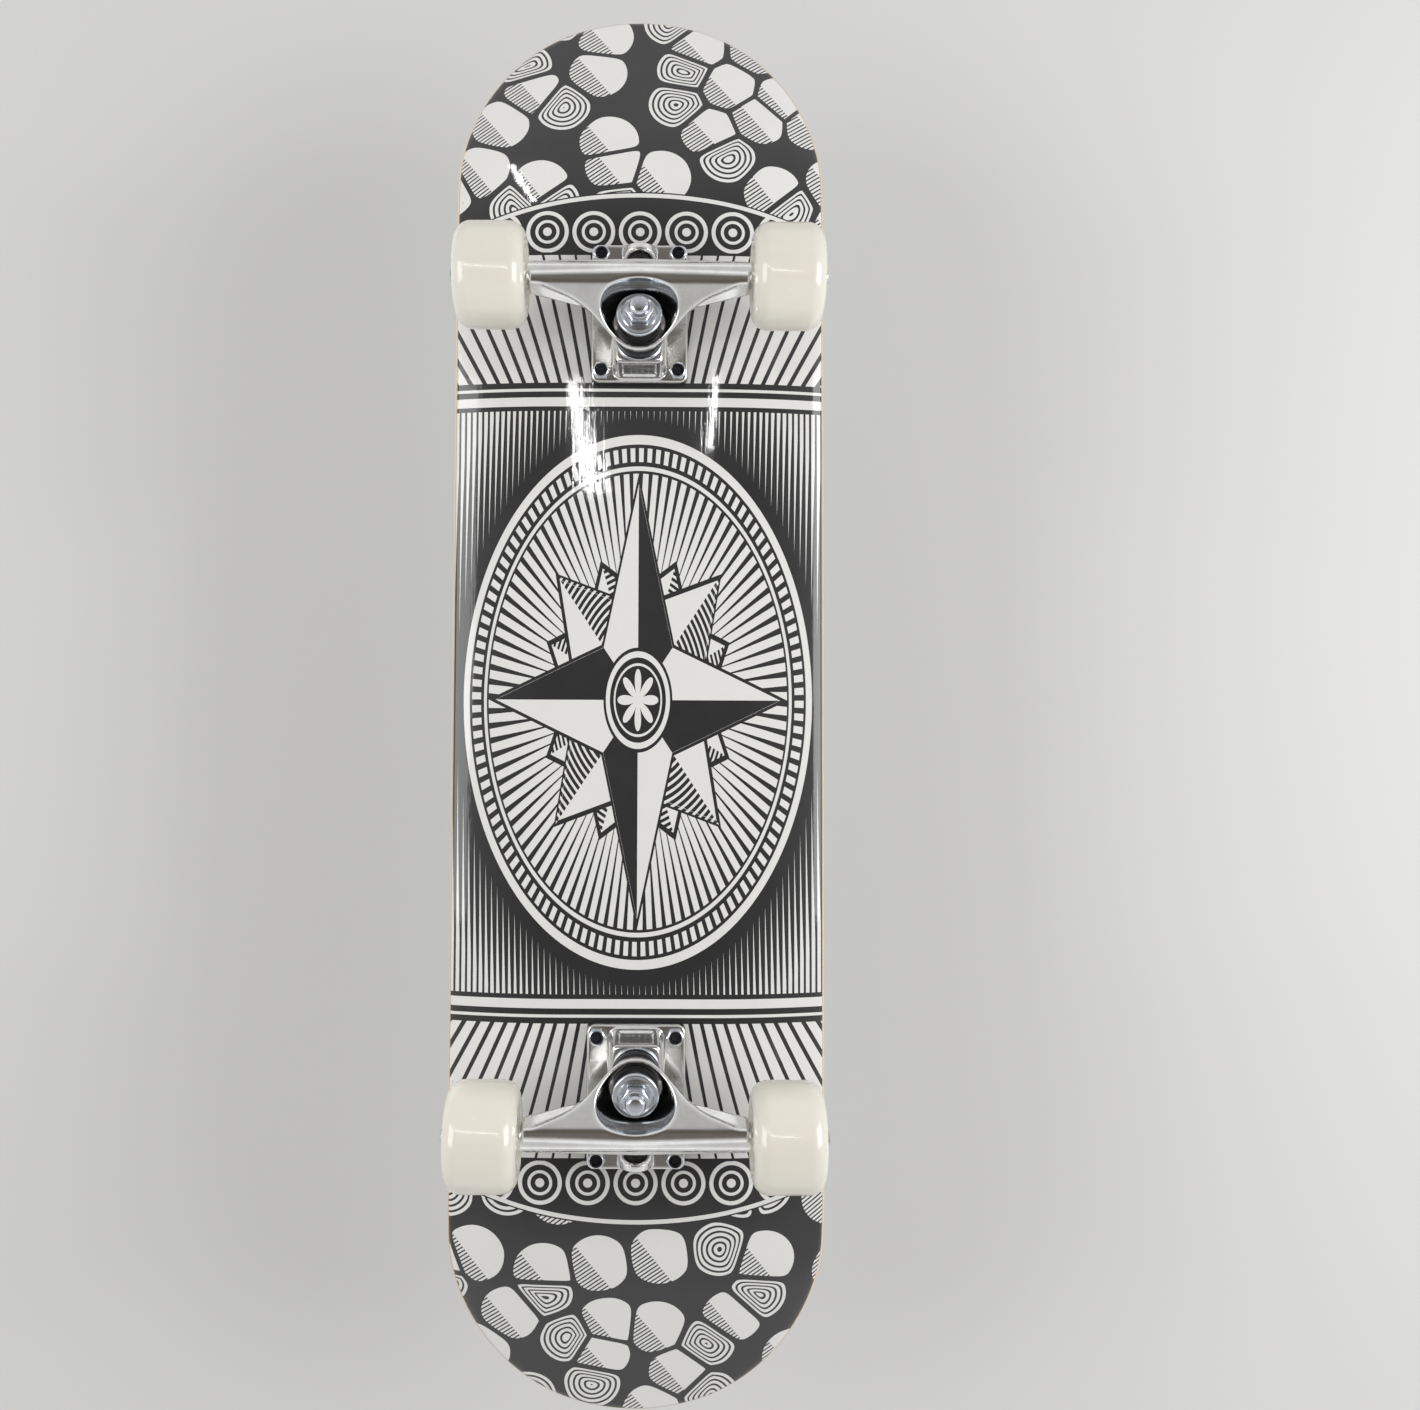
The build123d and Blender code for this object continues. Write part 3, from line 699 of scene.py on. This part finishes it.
def thread(radius, low, high, pitch=1.4, depth=0.42):
    """Stations of a rolled thread: radius, height, no flats, and the cut at each turn."""
    steps = max(2, int(abs(high - low) / pitch * 6))
    return [(radius, low + (high - low) * i / steps, None, pitch, depth) for i in range(steps + 1)]


def turned(name, stations, pose=None, sides=96):
    """A piece turned about the Z axis from stations, in mm, and set in a pose."""
    bm = bmesh.new()
    rings = []
    for radius, height, *extra in stations:
        across = extra[0] if extra else None
        ring_verts = []
        for i in range(sides):
            angle = 2 * math.pi * i / sides
            reach = radius
            if across:
                off_flat = (angle + math.pi / 6) % (math.pi / 3) - math.pi / 6
                reach = min(radius, across / 2 / math.cos(off_flat))
            if len(extra) > 1:
                turn_share = (height / extra[1] - angle / (2 * math.pi)) % 1.0
                reach -= extra[2] * abs(turn_share - 0.5) * 2
            ring_verts.append(bm.verts.new((reach * math.cos(angle), reach * math.sin(angle), height)))
        rings.append(ring_verts)
    pairs = list(zip(rings, rings[1:]))
    if stations[0][0] > 0:
        pairs.append((rings[-1], rings[0]))
    for lower, upper in pairs:
        for i in range(sides):
            j = (i + 1) % sides
            bm.faces.new((lower[i], lower[j], upper[j], upper[i]))
    bmesh.ops.remove_doubles(bm, verts=bm.verts, dist=1e-4)
    bmesh.ops.recalc_face_normals(bm, faces=bm.faces)
    mesh = smoothed(meshed(bm, name))
    mesh.transform(Matrix.Scale(MM, 4) @ (pose or Matrix()))
    return mesh


zinc_marks = {"scratch": 0.05, "pit": 0.1, "scratch_scale": 600.0, "smear_scale": 220.0}
zinc = metal("zinc_plate", (0.70, 0.73, 0.77), (0.56, 0.59, 0.64), 0.2, **zinc_marks)
dome_radius = kingpin_radius * 0.92
dome_foot = kingpin_end + dome_rise
kingpin_stations = [(0.0, kingpin_head_top)]
kingpin_stations += reversed(hexagon(kingpin_head, kingpin_head_seat, kingpin_head_top))
kingpin_stations += [(kingpin_radius, kingpin_head_seat - 0.2), (kingpin_radius, kingpin_thread)]
kingpin_stations += thread(kingpin_radius, kingpin_thread, dome_foot)
kingpin_stations += [
    (dome_radius * math.cos(a), dome_foot - dome_rise * math.sin(a)) for a in (0.0, 0.4, 0.8, 1.2)
]
kingpin_stations += [(0.0, kingpin_end)]
for end in ends:
    pin_mesh = turned(end + "_pin", kingpin_stations, truck_frames[end] @ kingpin_frame)
    new_piece(end + "_pin", pin_mesh, (zinc,), "board", end + "_kingpin")


# Kingpin nuts and washers: zinc-plated steel. A dished washer holds the outer bushing in its rim
# and a flat one backs the inner bushing on the pedestal.
nut_seat = 14.6
nut_crown = 21.6
nut_collar = 2.0
nut_across = 13.0
pin_hole = kingpin_radius + 0.05
road_frame = kingpin_frame @ Matrix.Rotation(math.pi, 4, "X")


def lock_nut(across, bore, seat, crown, collar):
    """Stations of a hexagon nut with a round locking collar, from its seat to its crown."""
    shoulder = crown - collar
    rim = across / 2 * 0.95
    stations = [(bore, crown - 0.5), (bore, seat + 0.3), (bore + 0.3, seat)]
    stations += hexagon(across, seat, shoulder)
    stations += [(rim, shoulder + 0.05), (rim, crown - 0.6), (rim - 0.18, crown - 0.22), (rim - 0.6, crown)]
    return stations + [(bore + 0.5, crown)]


pin_nut = lock_nut(nut_across, pin_hole, nut_seat, nut_crown, nut_collar)
dish_over = [(pin_hole, nut_seat, 0.2), (8.4, nut_seat, 1.0), (9.4, nut_seat - 0.5, 1.0)]
dish_rim = [(11.3, nut_seat - 0.5, 0.8), (11.9, nut_seat - 1.4, 0.7), (11.9, nut_seat - 3.0, 0.4)]
dish_under = [(10.6, nut_seat - 3.0, 0.4), (10.6, nut_seat - 1.6, 0.2), (pin_hole, nut_seat - 1.6, 0.2)]
dished_washer = eased(dish_over + dish_rim + dish_under)
flat_washer = eased(((pin_hole, 12.6, 0.2), (12.7, 12.6, 0.4), (12.7, 14.2, 0.4), (pin_hole, 14.2, 0.2)))
for end in ends:
    for part, node, stations, side_frame in (
        ("_pin_nut", "_kingpin_nut", pin_nut, road_frame),
        ("_dished_washer", "_roadside_washer", dished_washer, road_frame),
        ("_flat_washer", "_boardside_washer", flat_washer, kingpin_frame),
    ):
        part_mesh = turned(end + part, stations, truck_frames[end] @ side_frame)
        new_piece(end + part, part_mesh, (zinc,), "board", end + node)


# Bushings: cast black urethane, a barrel against the board and a cone towards the road.
# The hanger's ring sits between them.
bushing_rubber = rubber("bushing_rubber", (0.017, 0.017, 0.018), 0.34, 700.0)
ring_level = 4.0
barrel_side = [(11.7, 3.0, 0.9), (12.6, 7.8, 6.0), (11.7, 12.6, 0.9)]
barrel = eased([(pin_hole, 3.0, 0.3), *barrel_side, (pin_hole, 12.6, 0.3)], steps=8)
cone_side = [(11.3, 3.0, 0.8), (11.3, 7.0, 1.5), (10.5, 10.0, 1.5), (10.5, 13.0, 0.6)]
cone = eased([(pin_hole, 3.0, 0.3), *cone_side, (pin_hole, 13.0, 0.3)])
for end in ends:
    for part, outline, side_frame, far_level in (
        ("boardside_bushing", barrel, kingpin_frame, 11.6),
        ("roadside_bushing", cone, road_frame, 9.0),
    ):
        side = truck_frames[end] @ side_frame
        name = f"{end}_{part}_cast"
        bushing = linked(name, turned(name, outline, side))
        bushing.data.materials.append(bushing_rubber)
        start = side @ Vector((0, 0, far_level)) * MM
        stop = side @ Vector((0, 0, ring_level)) * MM
        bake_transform(bushing)
        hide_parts(f"{end}_{part}")


# Hangers: polished alloy castings with a bowl round the bushings, arms that hold the axle
# and a stem that ends in the pivot. Flash lines are ground off, so the arms are smooth facets.
hanger_alloy = metal("hanger_alloy", (0.90, 0.90, 0.89), (0.76, 0.75, 0.73), 0.13)
for end in ends:
    yoke_mesh = cast(end + "_hanger", voxel=0.5, rounds=9)
    new_piece(end + "_yoke", yoke_mesh, (hanger_alloy,), end + "_hanger_set", end + "_hanger")


# Axles: plated rods cast into the hangers, with a thread at each end. Speed washers, lock nuts with
# a nylon insert, and the spacers and inner rings of the bearings are clamped on them.
axle_radius = 3.97
axle_bore = axle_radius + 0.05
axle_end = 96.2
axle_centre = Vector((7.2, 0, 27.0))
hanger_end = 62.4
axle_thread = hanger_end + 24.0
wheel_middle = 75.4
nut_station = 88.4
axle_nut_height = 6.4
across_frame = Matrix.Rotation(-math.pi / 2, 4, "X")


def growing_tree(name, kinds):
    """A geometry node tree with inputs of given kinds, and its inputs as fields."""
    tree = bpy.data.node_groups.new(name, "GeometryNodeTree")
    tree.interface.new_socket("Geometry", in_out="OUTPUT", socket_type="NodeSocketGeometry")
    for key, kind in kinds.items():
        tree.interface.new_socket(key, in_out="INPUT", socket_type="NodeSocket" + kind)
    return tree, {s.name: Field(tree, s) for s in tree.nodes.new("NodeGroupInput").outputs if s.name}


def shaped(geometry, kind, **inputs):
    """A step of a geometry node tree, with geometry in and out."""
    return wire(geometry.tree, "GeometryNode" + kind, "Geometry", Geometry=geometry, **inputs)


def copies(points, piece):
    """A copy of a piece on each point."""
    return wire(points.tree, "GeometryNodeInstanceOnPoints", "Instances", Points=points, Instance=piece)


def row_points(count, start, step):
    """Points along a line."""
    values = {"Count": count, "Start_Location": start, "Offset": step}
    return wire(start.tree, "GeometryNodeMeshLine", "Mesh", **values)


def paired_row():
    """Geometry nodes: a row of copies of a piece, and the same row turned half round about the middle."""
    kinds = {"Piece": "Object", "Count": "Int", "Start": "Vector", "Step": "Vector", "Middle": "Vector"}
    tree, given = growing_tree("paired_row", kinds | {"Finish": "Material", "Insert And End Shade Finish": "Material"})
    piece = wire(tree, "GeometryNodeObjectInfo", "Geometry", Object=given["Piece"])
    row = copies(row_points(given["Count"], given["Start"], given["Step"]), piece)
    opposite = shaped(row, "Transform", Rotation=(0.0, 0.0, math.pi))
    both_rows = shaped(row, "JoinGeometry")
    put(opposite, both_rows.socket.node.inputs["Geometry"])
    moved = shaped(both_rows, "Transform", Translation=given["Middle"])
    solid = shaped(moved, "RealizeInstances")
    plain = shaped(solid, "SetMaterial", Material=given["Finish"])
    # Marked faces take the second finish: nylon inserts, and bolt ends painted dark as shade.
    flags = {"data_type": "BOOLEAN"}
    insert = wire(tree, "GeometryNodeInputNamedAttribute", "Attribute", flags, Name="insert")
    done = shaped(plain, "SetMaterial", Selection=insert, Material=given["Insert And End Shade Finish"])
    dress(tree.nodes.new("NodeGroupOutput"), Geometry=done)
    return tree


def grown(name, tree, values):
    """The plain mesh that a geometry node tree makes from its inputs."""
    holder = linked(name, bpy.data.meshes.new(name))
    modifier = holder.modifiers.new("grow", "NODES")
    modifier.node_group = tree
    for item in tree.interface.items_tree:
        if item.in_out == "INPUT":
            modifier[item.identifier] = values[item.name]
    return taken(holder)


row_tree = paired_row()
# Black nylon for the nuts' inserts. It is also laid on the bolts' cut ends as painted shade.
nylon_and_end_shade = rubber("black_nylon_and_end_shade", (0.012, 0.012, 0.014), 0.42, 1500.0)


def repeated(name, node, body, slot, finish, pattern, middle, count, start, step=(0, 0, 0)):
    """A row of copies of a pattern mesh and the row opposite to it, as one piece in the place of a node."""
    model = linked("pattern", pattern)
    values = {
        "Piece": model,
        "Count": count,
        "Start": tuple(Vector(start) * MM),
        "Step": tuple(Vector(step) * MM),
        "Middle": tuple(Vector(middle) * MM),
        "Finish": finish,
        "Insert And End Shade Finish": nylon_and_end_shade,
    }
    mesh = grown(name, row_tree, values)
    bpy.data.objects.remove(model)
    new_piece(name, mesh, (), body, node)


def mark_insert_and_end_shade(mesh, radius, low, high):
    """Mark the faces inside a radius and between two levels: a nut's nylon insert, and on a bolt its cut
    end, which is painted dark as shade in the nut's recess.
    """
    insert = mesh.attributes.new("insert", "BOOLEAN", "FACE")
    for face in mesh.polygons:
        inside = face.center.xy.length < radius * MM and low * MM < face.center.z < high * MM
        insert.data[face.index].value = inside


def ring(inner, outer, thickness, rounding):
    """Stations of a flat ring about its middle, with eased edges."""
    half = thickness / 2
    corners = ((inner, -half), (outer, -half), (outer, half), (inner, half))
    return eased([(radius, height, rounding) for radius, height in corners])


axle_side = [(axle_radius, 0.0), (axle_radius, hanger_end)]
axle_side += thread(axle_radius, axle_thread, axle_end - 0.5, pitch=1.06, depth=0.3)
axle_side += [(axle_radius - 0.8, axle_end), (0.0, axle_end)]
axle_stations = [(station[0], -station[1], *station[2:]) for station in reversed(axle_side[1:])] + axle_side
speed_washer = turned("speed_washer", ring(axle_bore, 5.5, thickness=1.0, rounding=0.25), across_frame, 64)
axle_nut_stations = lock_nut(across=12.7, bore=axle_bore, seat=0.0, crown=axle_nut_height, collar=2.0)
axle_nut = turned("axle_nut", axle_nut_stations)
mark_insert_and_end_shade(axle_nut, 5.2, axle_nut_height - 0.4, axle_nut_height + 0.1)
axle_nut.transform(across_frame)
spacer = turned("spacer", ring(axle_bore, 5.2, thickness=10.0, rounding=0.3), across_frame, 64)
for end in ends:
    set_body = end + "_hanger_set"
    middle = truck_frames[end] @ axle_centre
    rod_frame = truck_frames[end] @ Matrix.Translation(axle_centre) @ across_frame
    rod = turned(end + "_axle_rod", axle_stations, rod_frame, 64)
    new_piece(end + "_axle_rod", rod, (zinc,), set_body, end + "_axle")
    for part, pattern, count, first, step in (
        ("speed_washers", speed_washer, 2, hanger_end + 0.5, 25.0),
        ("axle_nuts", axle_nut, 1, nut_station, 0.0),
        ("bearing_spacers", spacer, 1, wheel_middle, 0.0),
    ):
        name = f"{end}_turned_{part}"
        row = (count, (0, first, 0), (0, step, 0))
        repeated(name, f"{end}_{part}", set_body, "plated_steel", zinc, pattern, middle, *row)


# Bearings: ground steel rings with balls between them, closed by pressed shields.
# The inner rings are clamped on the axle and the outer rings turn with the wheel.
fine_marks = {"scratch": 0.04, "pit": 0.05, "scratch_scale": 900.0, "smear_scale": 300.0}
ring_steel = metal("ring_steel", (0.74, 0.75, 0.77), (0.6, 0.61, 0.63), 0.2, **fine_marks)
shield_steel = metal("shield_steel", (0.62, 0.63, 0.66), (0.5, 0.51, 0.54), 0.3, **fine_marks)
bearing_offset = 8.5
ring_half_width = 3.5
ring_chamfer = 0.3
groove_radius = 2.0
ball_radius = 1.95
ball_reach = 7.6
ball_count = 7
shield_offset = 5.55
shield_step = 5.9


def ball_rows():
    """Geometry nodes: two circles of balls about the Y axis, a gap apart."""
    kinds = {"Balls": "Int", "Ball Radius": "Float", "Circle Radius": "Float"}
    kinds |= {"Row Start": "Vector", "Row Step": "Vector", "Finish": "Material"}
    tree, given = growing_tree("ball_rows", kinds)
    circle_values = {"Vertices": given["Balls"], "Radius": given["Circle Radius"]}
    circle = wire(tree, "GeometryNodeMeshCircle", "Mesh", **circle_values)
    upright = shaped(circle, "Transform", Rotation=(math.pi / 2, 0.0, 0.0))
    ball_values = {"Segments": 24, "Rings": 14, "Radius": given["Ball Radius"]}
    ball = wire(tree, "GeometryNodeMeshUVSphere", "Mesh", **ball_values)
    one_row = copies(upright, shaped(ball, "SetShadeSmooth"))
    rows = copies(row_points(2, given["Row Start"], given["Row Step"]), one_row)
    solid = shaped(rows, "RealizeInstances")
    done = shaped(solid, "SetMaterial", Material=given["Finish"])
    dress(tree.nodes.new("NodeGroupOutput"), Geometry=done)
    return tree


def race(plain, running, side):
    """Stations of a bearing ring with a track for the balls: on its outside for side 1, inside for -1."""
    spread = math.acos(abs(ball_reach - running) / groove_radius)
    angles = [side * (-spread + 2 * spread * i / 8) for i in range(9)]
    track = [(ball_reach - side * groove_radius * math.cos(a), groove_radius * math.sin(a)) for a in angles]
    level = side * ring_half_width
    slant = side * ring_chamfer
    start = [(plain, -level), (running - slant, -level), (running, slant - level)]
    return start + track + [(running, level - slant), (running - slant, level), (plain, level)]


ball_tree = ball_rows()
corners = [f"{end}_{side}" for end in ends for side in ("left", "right")]
inner_race = turned("inner_race", race(3.995, 6.075, 1), across_frame, 72)
outer_race = turned("outer_race", race(11.0, 9.1, -1), across_frame, 72)
shield_groove = [(7.2, -0.25, 0.2), (7.5, -0.05, 0.2), (8.2, -0.05, 0.2), (8.5, -0.25, 0.2)]
shield_back = [(9.05, -0.25, 0.1), (9.05, 0.25, 0.1), (6.5, 0.25, 0.1)]
shield_outline = eased([(6.5, -0.25, 0.1), *shield_groove, *shield_back])
shield = turned("shield", shield_outline, Matrix.Rotation(math.pi / 2, 4, "X"), 72)
for end in ends:
    look = ("bearing_steel", ring_steel, inner_race, truck_frames[end] @ axle_centre)
    row = (2, (0, wheel_middle - bearing_offset, 0), (0, 2 * bearing_offset, 0))
    repeated(end + "_inner_races", end + "_bearing_inner_rings", end + "_hanger_set", *look, *row)
for corner in corners:
    low, high = (Vector(point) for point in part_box(corner + "_wheel"))
    middle = (low + high) / 2 / MM
    wheel_body = corner + "_wheel_set"
    node = corner + "_bearing_"
    look = ("bearing_steel", ring_steel, outer_race, middle)
    repeated(corner + "_outer_races", node + "outer_rings", wheel_body, *look, 1, (0, bearing_offset, 0))
    look = ("bearing_steel", shield_steel, shield, middle)
    row = (2, (0, shield_offset, 0), (0, shield_step, 0))
    repeated(corner + "_shields", node + "shields", wheel_body, *look, *row)
    ball_values = {
        "Balls": ball_count,
        "Ball Radius": ball_radius * MM,
        "Circle Radius": ball_reach * MM,
        "Row Start": tuple((middle - Vector((0, bearing_offset, 0))) * MM),
        "Row Step": (0.0, 2 * bearing_offset * MM, 0.0),
        "Finish": ring_steel,
    }
    ball_mesh = grown(corner + "_balls", ball_tree, ball_values)
    new_piece(corner + "_balls", ball_mesh, (), wheel_body, node + "balls")


# Wheels: cast urethane, cream white and glossy, with rounded shoulders and a recess
# at each side where the bearings seat. They are turned to shape after casting.
def urethane():
    """Cream urethane with a little depth, lathe marks and scuffs."""
    material, tree = new_material("cream_urethane")
    point = place(tree)
    cloud = noise(point, 30.0, 3.0, 0.5)
    turning = noise(place(tree, (0.0, 1.0, 0.0)), 1400.0, 2.0)
    scuffs = noise(point, 160.0, 4.0, 0.7).ramp(0.5, 0.8)
    return finished(
        material,
        Base_Color=tint(cloud, (0.69, 0.665, 0.58), (0.725, 0.70, 0.62)),
        Roughness=scuffs.ramp(0.0, 1.0, 0.22, 0.3),
        Subsurface_Weight=0.15,
        Subsurface_Radius=(0.006, 0.005, 0.004),
        Subsurface_Scale=1.0,
        Coat_Weight=0.5,
        Coat_Roughness=0.06,
        Normal=bump(turning, 0.05, 0.00005),
    )


cream = urethane()
bearing_seat = [(9.0, 5.0, 0.3), (11.05, 5.0, 0.2), (11.05, 12.9, 0.5), (12.4, 13.6, 0.4)]
recess = [(13.6, 16.3, 0.9), (15.4, 16.9, 0.7), (16.2, 18.0, 0.7)]
wheel_side = bearing_seat + recess + [(27.0, 18.0, 8.5)]
other_side = [(radius, -height, rounding) for radius, height, rounding in reversed(wheel_side)]
wheel_outline = eased(wheel_side + other_side, steps=10)
tyres = []
for corner in corners:
    name = corner + "_tyre"
    low, high = (Vector(point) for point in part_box(corner + "_wheel"))
    wheel_frame = Matrix.Translation((low + high) / 2 / MM) @ across_frame
    wheel_mesh = turned(name, wheel_outline, wheel_frame, 160)
    wheel_body = corner + "_wheel_set"
    tyres.append(new_piece(name, wheel_mesh, (cream,), wheel_body, corner + "_wheel"))


# Mounting hardware: countersunk bolts with a hexagon socket, flush with the grip tape, and lock nuts
# under the plates. The bolts stop inside the nuts, and their cut ends are dull, and painted dark as shade
# in the nut's recess.
bolt_top = deck_underside + grip_top
bolt_radius = 2.4
bolt_end = 65.6
plate_under = 69.0
lower_nut = 4.6
socket_across = 3.2
bolt_stations = [(0.0, bolt_top - 1.7), (1.3, bolt_top - 1.7)]
bolt_stations += [(2.0, bolt_top - 1.6, socket_across), (2.0, bolt_top - 0.2, socket_across)]
bolt_stations += [(2.15, bolt_top - 0.02), (bolt_head_radius - 0.3, bolt_top)]
bolt_stations += [(bolt_head_radius, bolt_top - 0.25), (bolt_radius, bolt_top - 2.8)]
bolt_stations += thread(bolt_radius, bolt_top - 4.0, bolt_end + 0.4, pitch=0.8, depth=0.25)
bolt_stations += [(bolt_radius - 0.4, bolt_end), (0.0, bolt_end)]
bolt_mesh = turned("bolt", bolt_stations, sides=48)
nut_stations = lock_nut(across=8.4, bore=bolt_radius + 0.05, seat=0.0, crown=lower_nut, collar=1.0)
nut_mesh = turned("nut", nut_stations, sides=72)
# The bolt's cut end takes the black nylon finish: painted shade in the nut's recess.
mark_insert_and_end_shade(bolt_mesh, bolt_radius, bolt_end - 0.1, bolt_end + 0.4)
mark_insert_and_end_shade(nut_mesh, 3.5, lower_nut - 0.6, lower_nut + 0.1)
nut_mesh.transform(Matrix.Translation((0, 0, plate_under * MM)) @ Matrix.Rotation(math.pi, 4, "X"))
for end in ends:
    row = (truck_frames[end].translation, 2, (bolt_x, bolt_y, 0), (-2 * bolt_x, 0, 0))
    for part, pattern in (("mounting_bolts", bolt_mesh), ("mounting_nuts", nut_mesh)):
        name = f"{end}_threaded_{part}"
        repeated(name, f"{end}_{part}", "board", "plated_steel", zinc, pattern, *row)


# Stage: a pale floor that is there for views from above, and a pale backdrop over the board for views
# from below, which pass through the floor first. Lamps stand above and below.
def one_sided(name, colour, size, fade, height, down):
    """A plain sheet that fades out towards its edge and is seen on its front, from above or from below."""
    corner_points = [(-size, -size), (size, -size), (size, size), (-size, size)]
    if down:
        corner_points.reverse()
    mesh = bpy.data.meshes.new(name)
    mesh.from_pydata([(x, y, height) for x, y in corner_points], [], [(0, 1, 2, 3)])
    material, tree = new_material(name)
    finished(material, Base_Color=(*colour, 1.0), Roughness=0.9, Specular_IOR_Level=0.1)
    back = wire(tree, "ShaderNodeNewGeometry", "Backfacing")
    rays = ("Is Camera Ray", "Is Glossy Ray", "Is Transmission Ray", "Transparent Depth")
    direct, mirrored, refracted, sheets_passed = wire(tree, "ShaderNodeLightPath", rays)
    from_below = sheets_passed > 0.5
    away = wire(tree, "ShaderNodeVectorMath", "Value", {"operation": "LENGTH"}, Vector=place(tree))
    near = away.ramp(fade, size, 1.0, 0.0)
    if down:
        seen = direct.either(mirrored).either(refracted).both(from_below).both(near)
    else:
        seen = near.without(from_below)
    clear = tree.nodes.new("ShaderNodeBsdfTransparent")
    choose = tree.nodes.new("ShaderNodeMixShader")
    put(seen.without(back), choose.inputs[0])
    tree.links.new(clear.outputs[0], choose.inputs[1])
    tree.links.new(tree.nodes["Principled BSDF"].outputs[0], choose.inputs[2])
    tree.links.new(choose.outputs[0], tree.nodes["Material Output"].inputs["Surface"])
    mesh.materials.append(material)
    sheet = linked(name, mesh)


one_sided("floor", (0.72, 0.72, 0.71), size=5.0, fade=1.5, height=0.0, down=False)
one_sided("backdrop", (0.70, 0.70, 0.69), size=3.2, fade=0.9, height=0.3, down=True)


def lamp(name, place_at, aim, size, power, only=()):
    """A soft rectangular lamp, which may shine on chosen pieces only."""
    light = bpy.data.lights.new(name, "AREA")
    light.shape = "RECTANGLE"
    light.size, light.size_y = size
    light.energy = power
    holder = linked(name, light)
    holder.location = place_at
    holder.rotation_euler = (Vector(aim) - Vector(place_at)).to_track_quat("-Z", "Y").to_euler()
    if only:
        lit = bpy.data.collections.new(name)
        for piece in only:
            lit.objects.link(piece)
        holder.light_linking.receiver_collection = lit


lamp("low_left", (0.1, -1.2, -0.9), (0, 0, 0.05), (0.9, 0.9), 9.5)
lamp("low_right", (0.1, 1.3, -0.8), (0.05, 0.2, 0.1), (0.9, 0.9), 14.5)
lamp("tube_left", (0.35, -0.085, -1.0), (0.14, -0.032, 0.077), (0.008, 0.15), 0.45, [deck_board])
lamp("tube_right", (0.385, 0.118, -1.0), (0.155, 0.04, 0.077), (0.008, 0.1), 0.28, [deck_board])
lamp("tube_nose", (1.3, -0.49, -1.0), (0.285, -0.063, 0.08), (0.012, 0.5), 2.0, [deck_board])
lamp("tube_wheels", (0.25, -0.2, -1.0), (0.21, -0.08, 0.0), (0.05, 0.9), 1.0, tyres)
lamp("high_key", (0.9, -1.1, 1.5), (0, 0, 0.08), (1.2, 1.2), 12)
lamp("high_fill", (-1.0, 1.2, 1.3), (0, 0, 0.08), (1.2, 1.2), 6)

world = bpy.data.worlds.new("studio")
scene.world = world
world.use_nodes = True
sky = world.node_tree
soft_grey = (0.6, 0.6, 0.6)
direction = wire(sky, "ShaderNodeTexCoord", "Generated")
upward = wire(sky, "ShaderNodeSeparateXYZ", "Z", Vector=direction)
below = tint(upward.ramp(-0.97, -0.7), (0.12, 0.105, 0.09), soft_grey)
horizon = tint(upward.ramp(-0.5, -0.1), below, (0.92, 0.92, 0.92))
overhead = tint(upward.ramp(0.1, 0.8), horizon, soft_grey)
dress(sky.nodes["Background"], Color=overhead, Strength=1.0)

# Camera: below the board and nearly square to it, as the photograph looks at the underside.
# Its lens, shift, place and tilt are fitted to the outline, the wheels and the bolts.
photo_width = 1420.0
photo_lens_px = 1370.33
photo_centre = (57.66, -69.48)
camera_place = (0.00074, 0.0040, -0.66238)
camera_tilt = {"Z": -0.0046, "Y": -0.0049, "X": 0.0461}
tilt = Matrix.Identity(3)
for axis, tilt_angle in camera_tilt.items():
    tilt = tilt @ Matrix.Rotation(tilt_angle, 3, axis)
right, up, ahead = (Vector((row[1], row[0], row[2])) for row in tilt)
camera_data = bpy.data.cameras.new("camera")
camera_data.sensor_width = 36.0
camera_data.lens = photo_lens_px / photo_width * camera_data.sensor_width
camera_data.shift_x = photo_centre[0] / photo_width
camera_data.shift_y = photo_centre[1] / photo_width
camera_data.clip_start = 0.01
camera = linked("camera", camera_data)
camera_turn = Matrix((right, up, -ahead)).transposed()
camera.matrix_world = Matrix.Translation(camera_place) @ camera_turn.to_4x4()
scene.camera = camera
scene.view_settings.view_transform = "Standard"
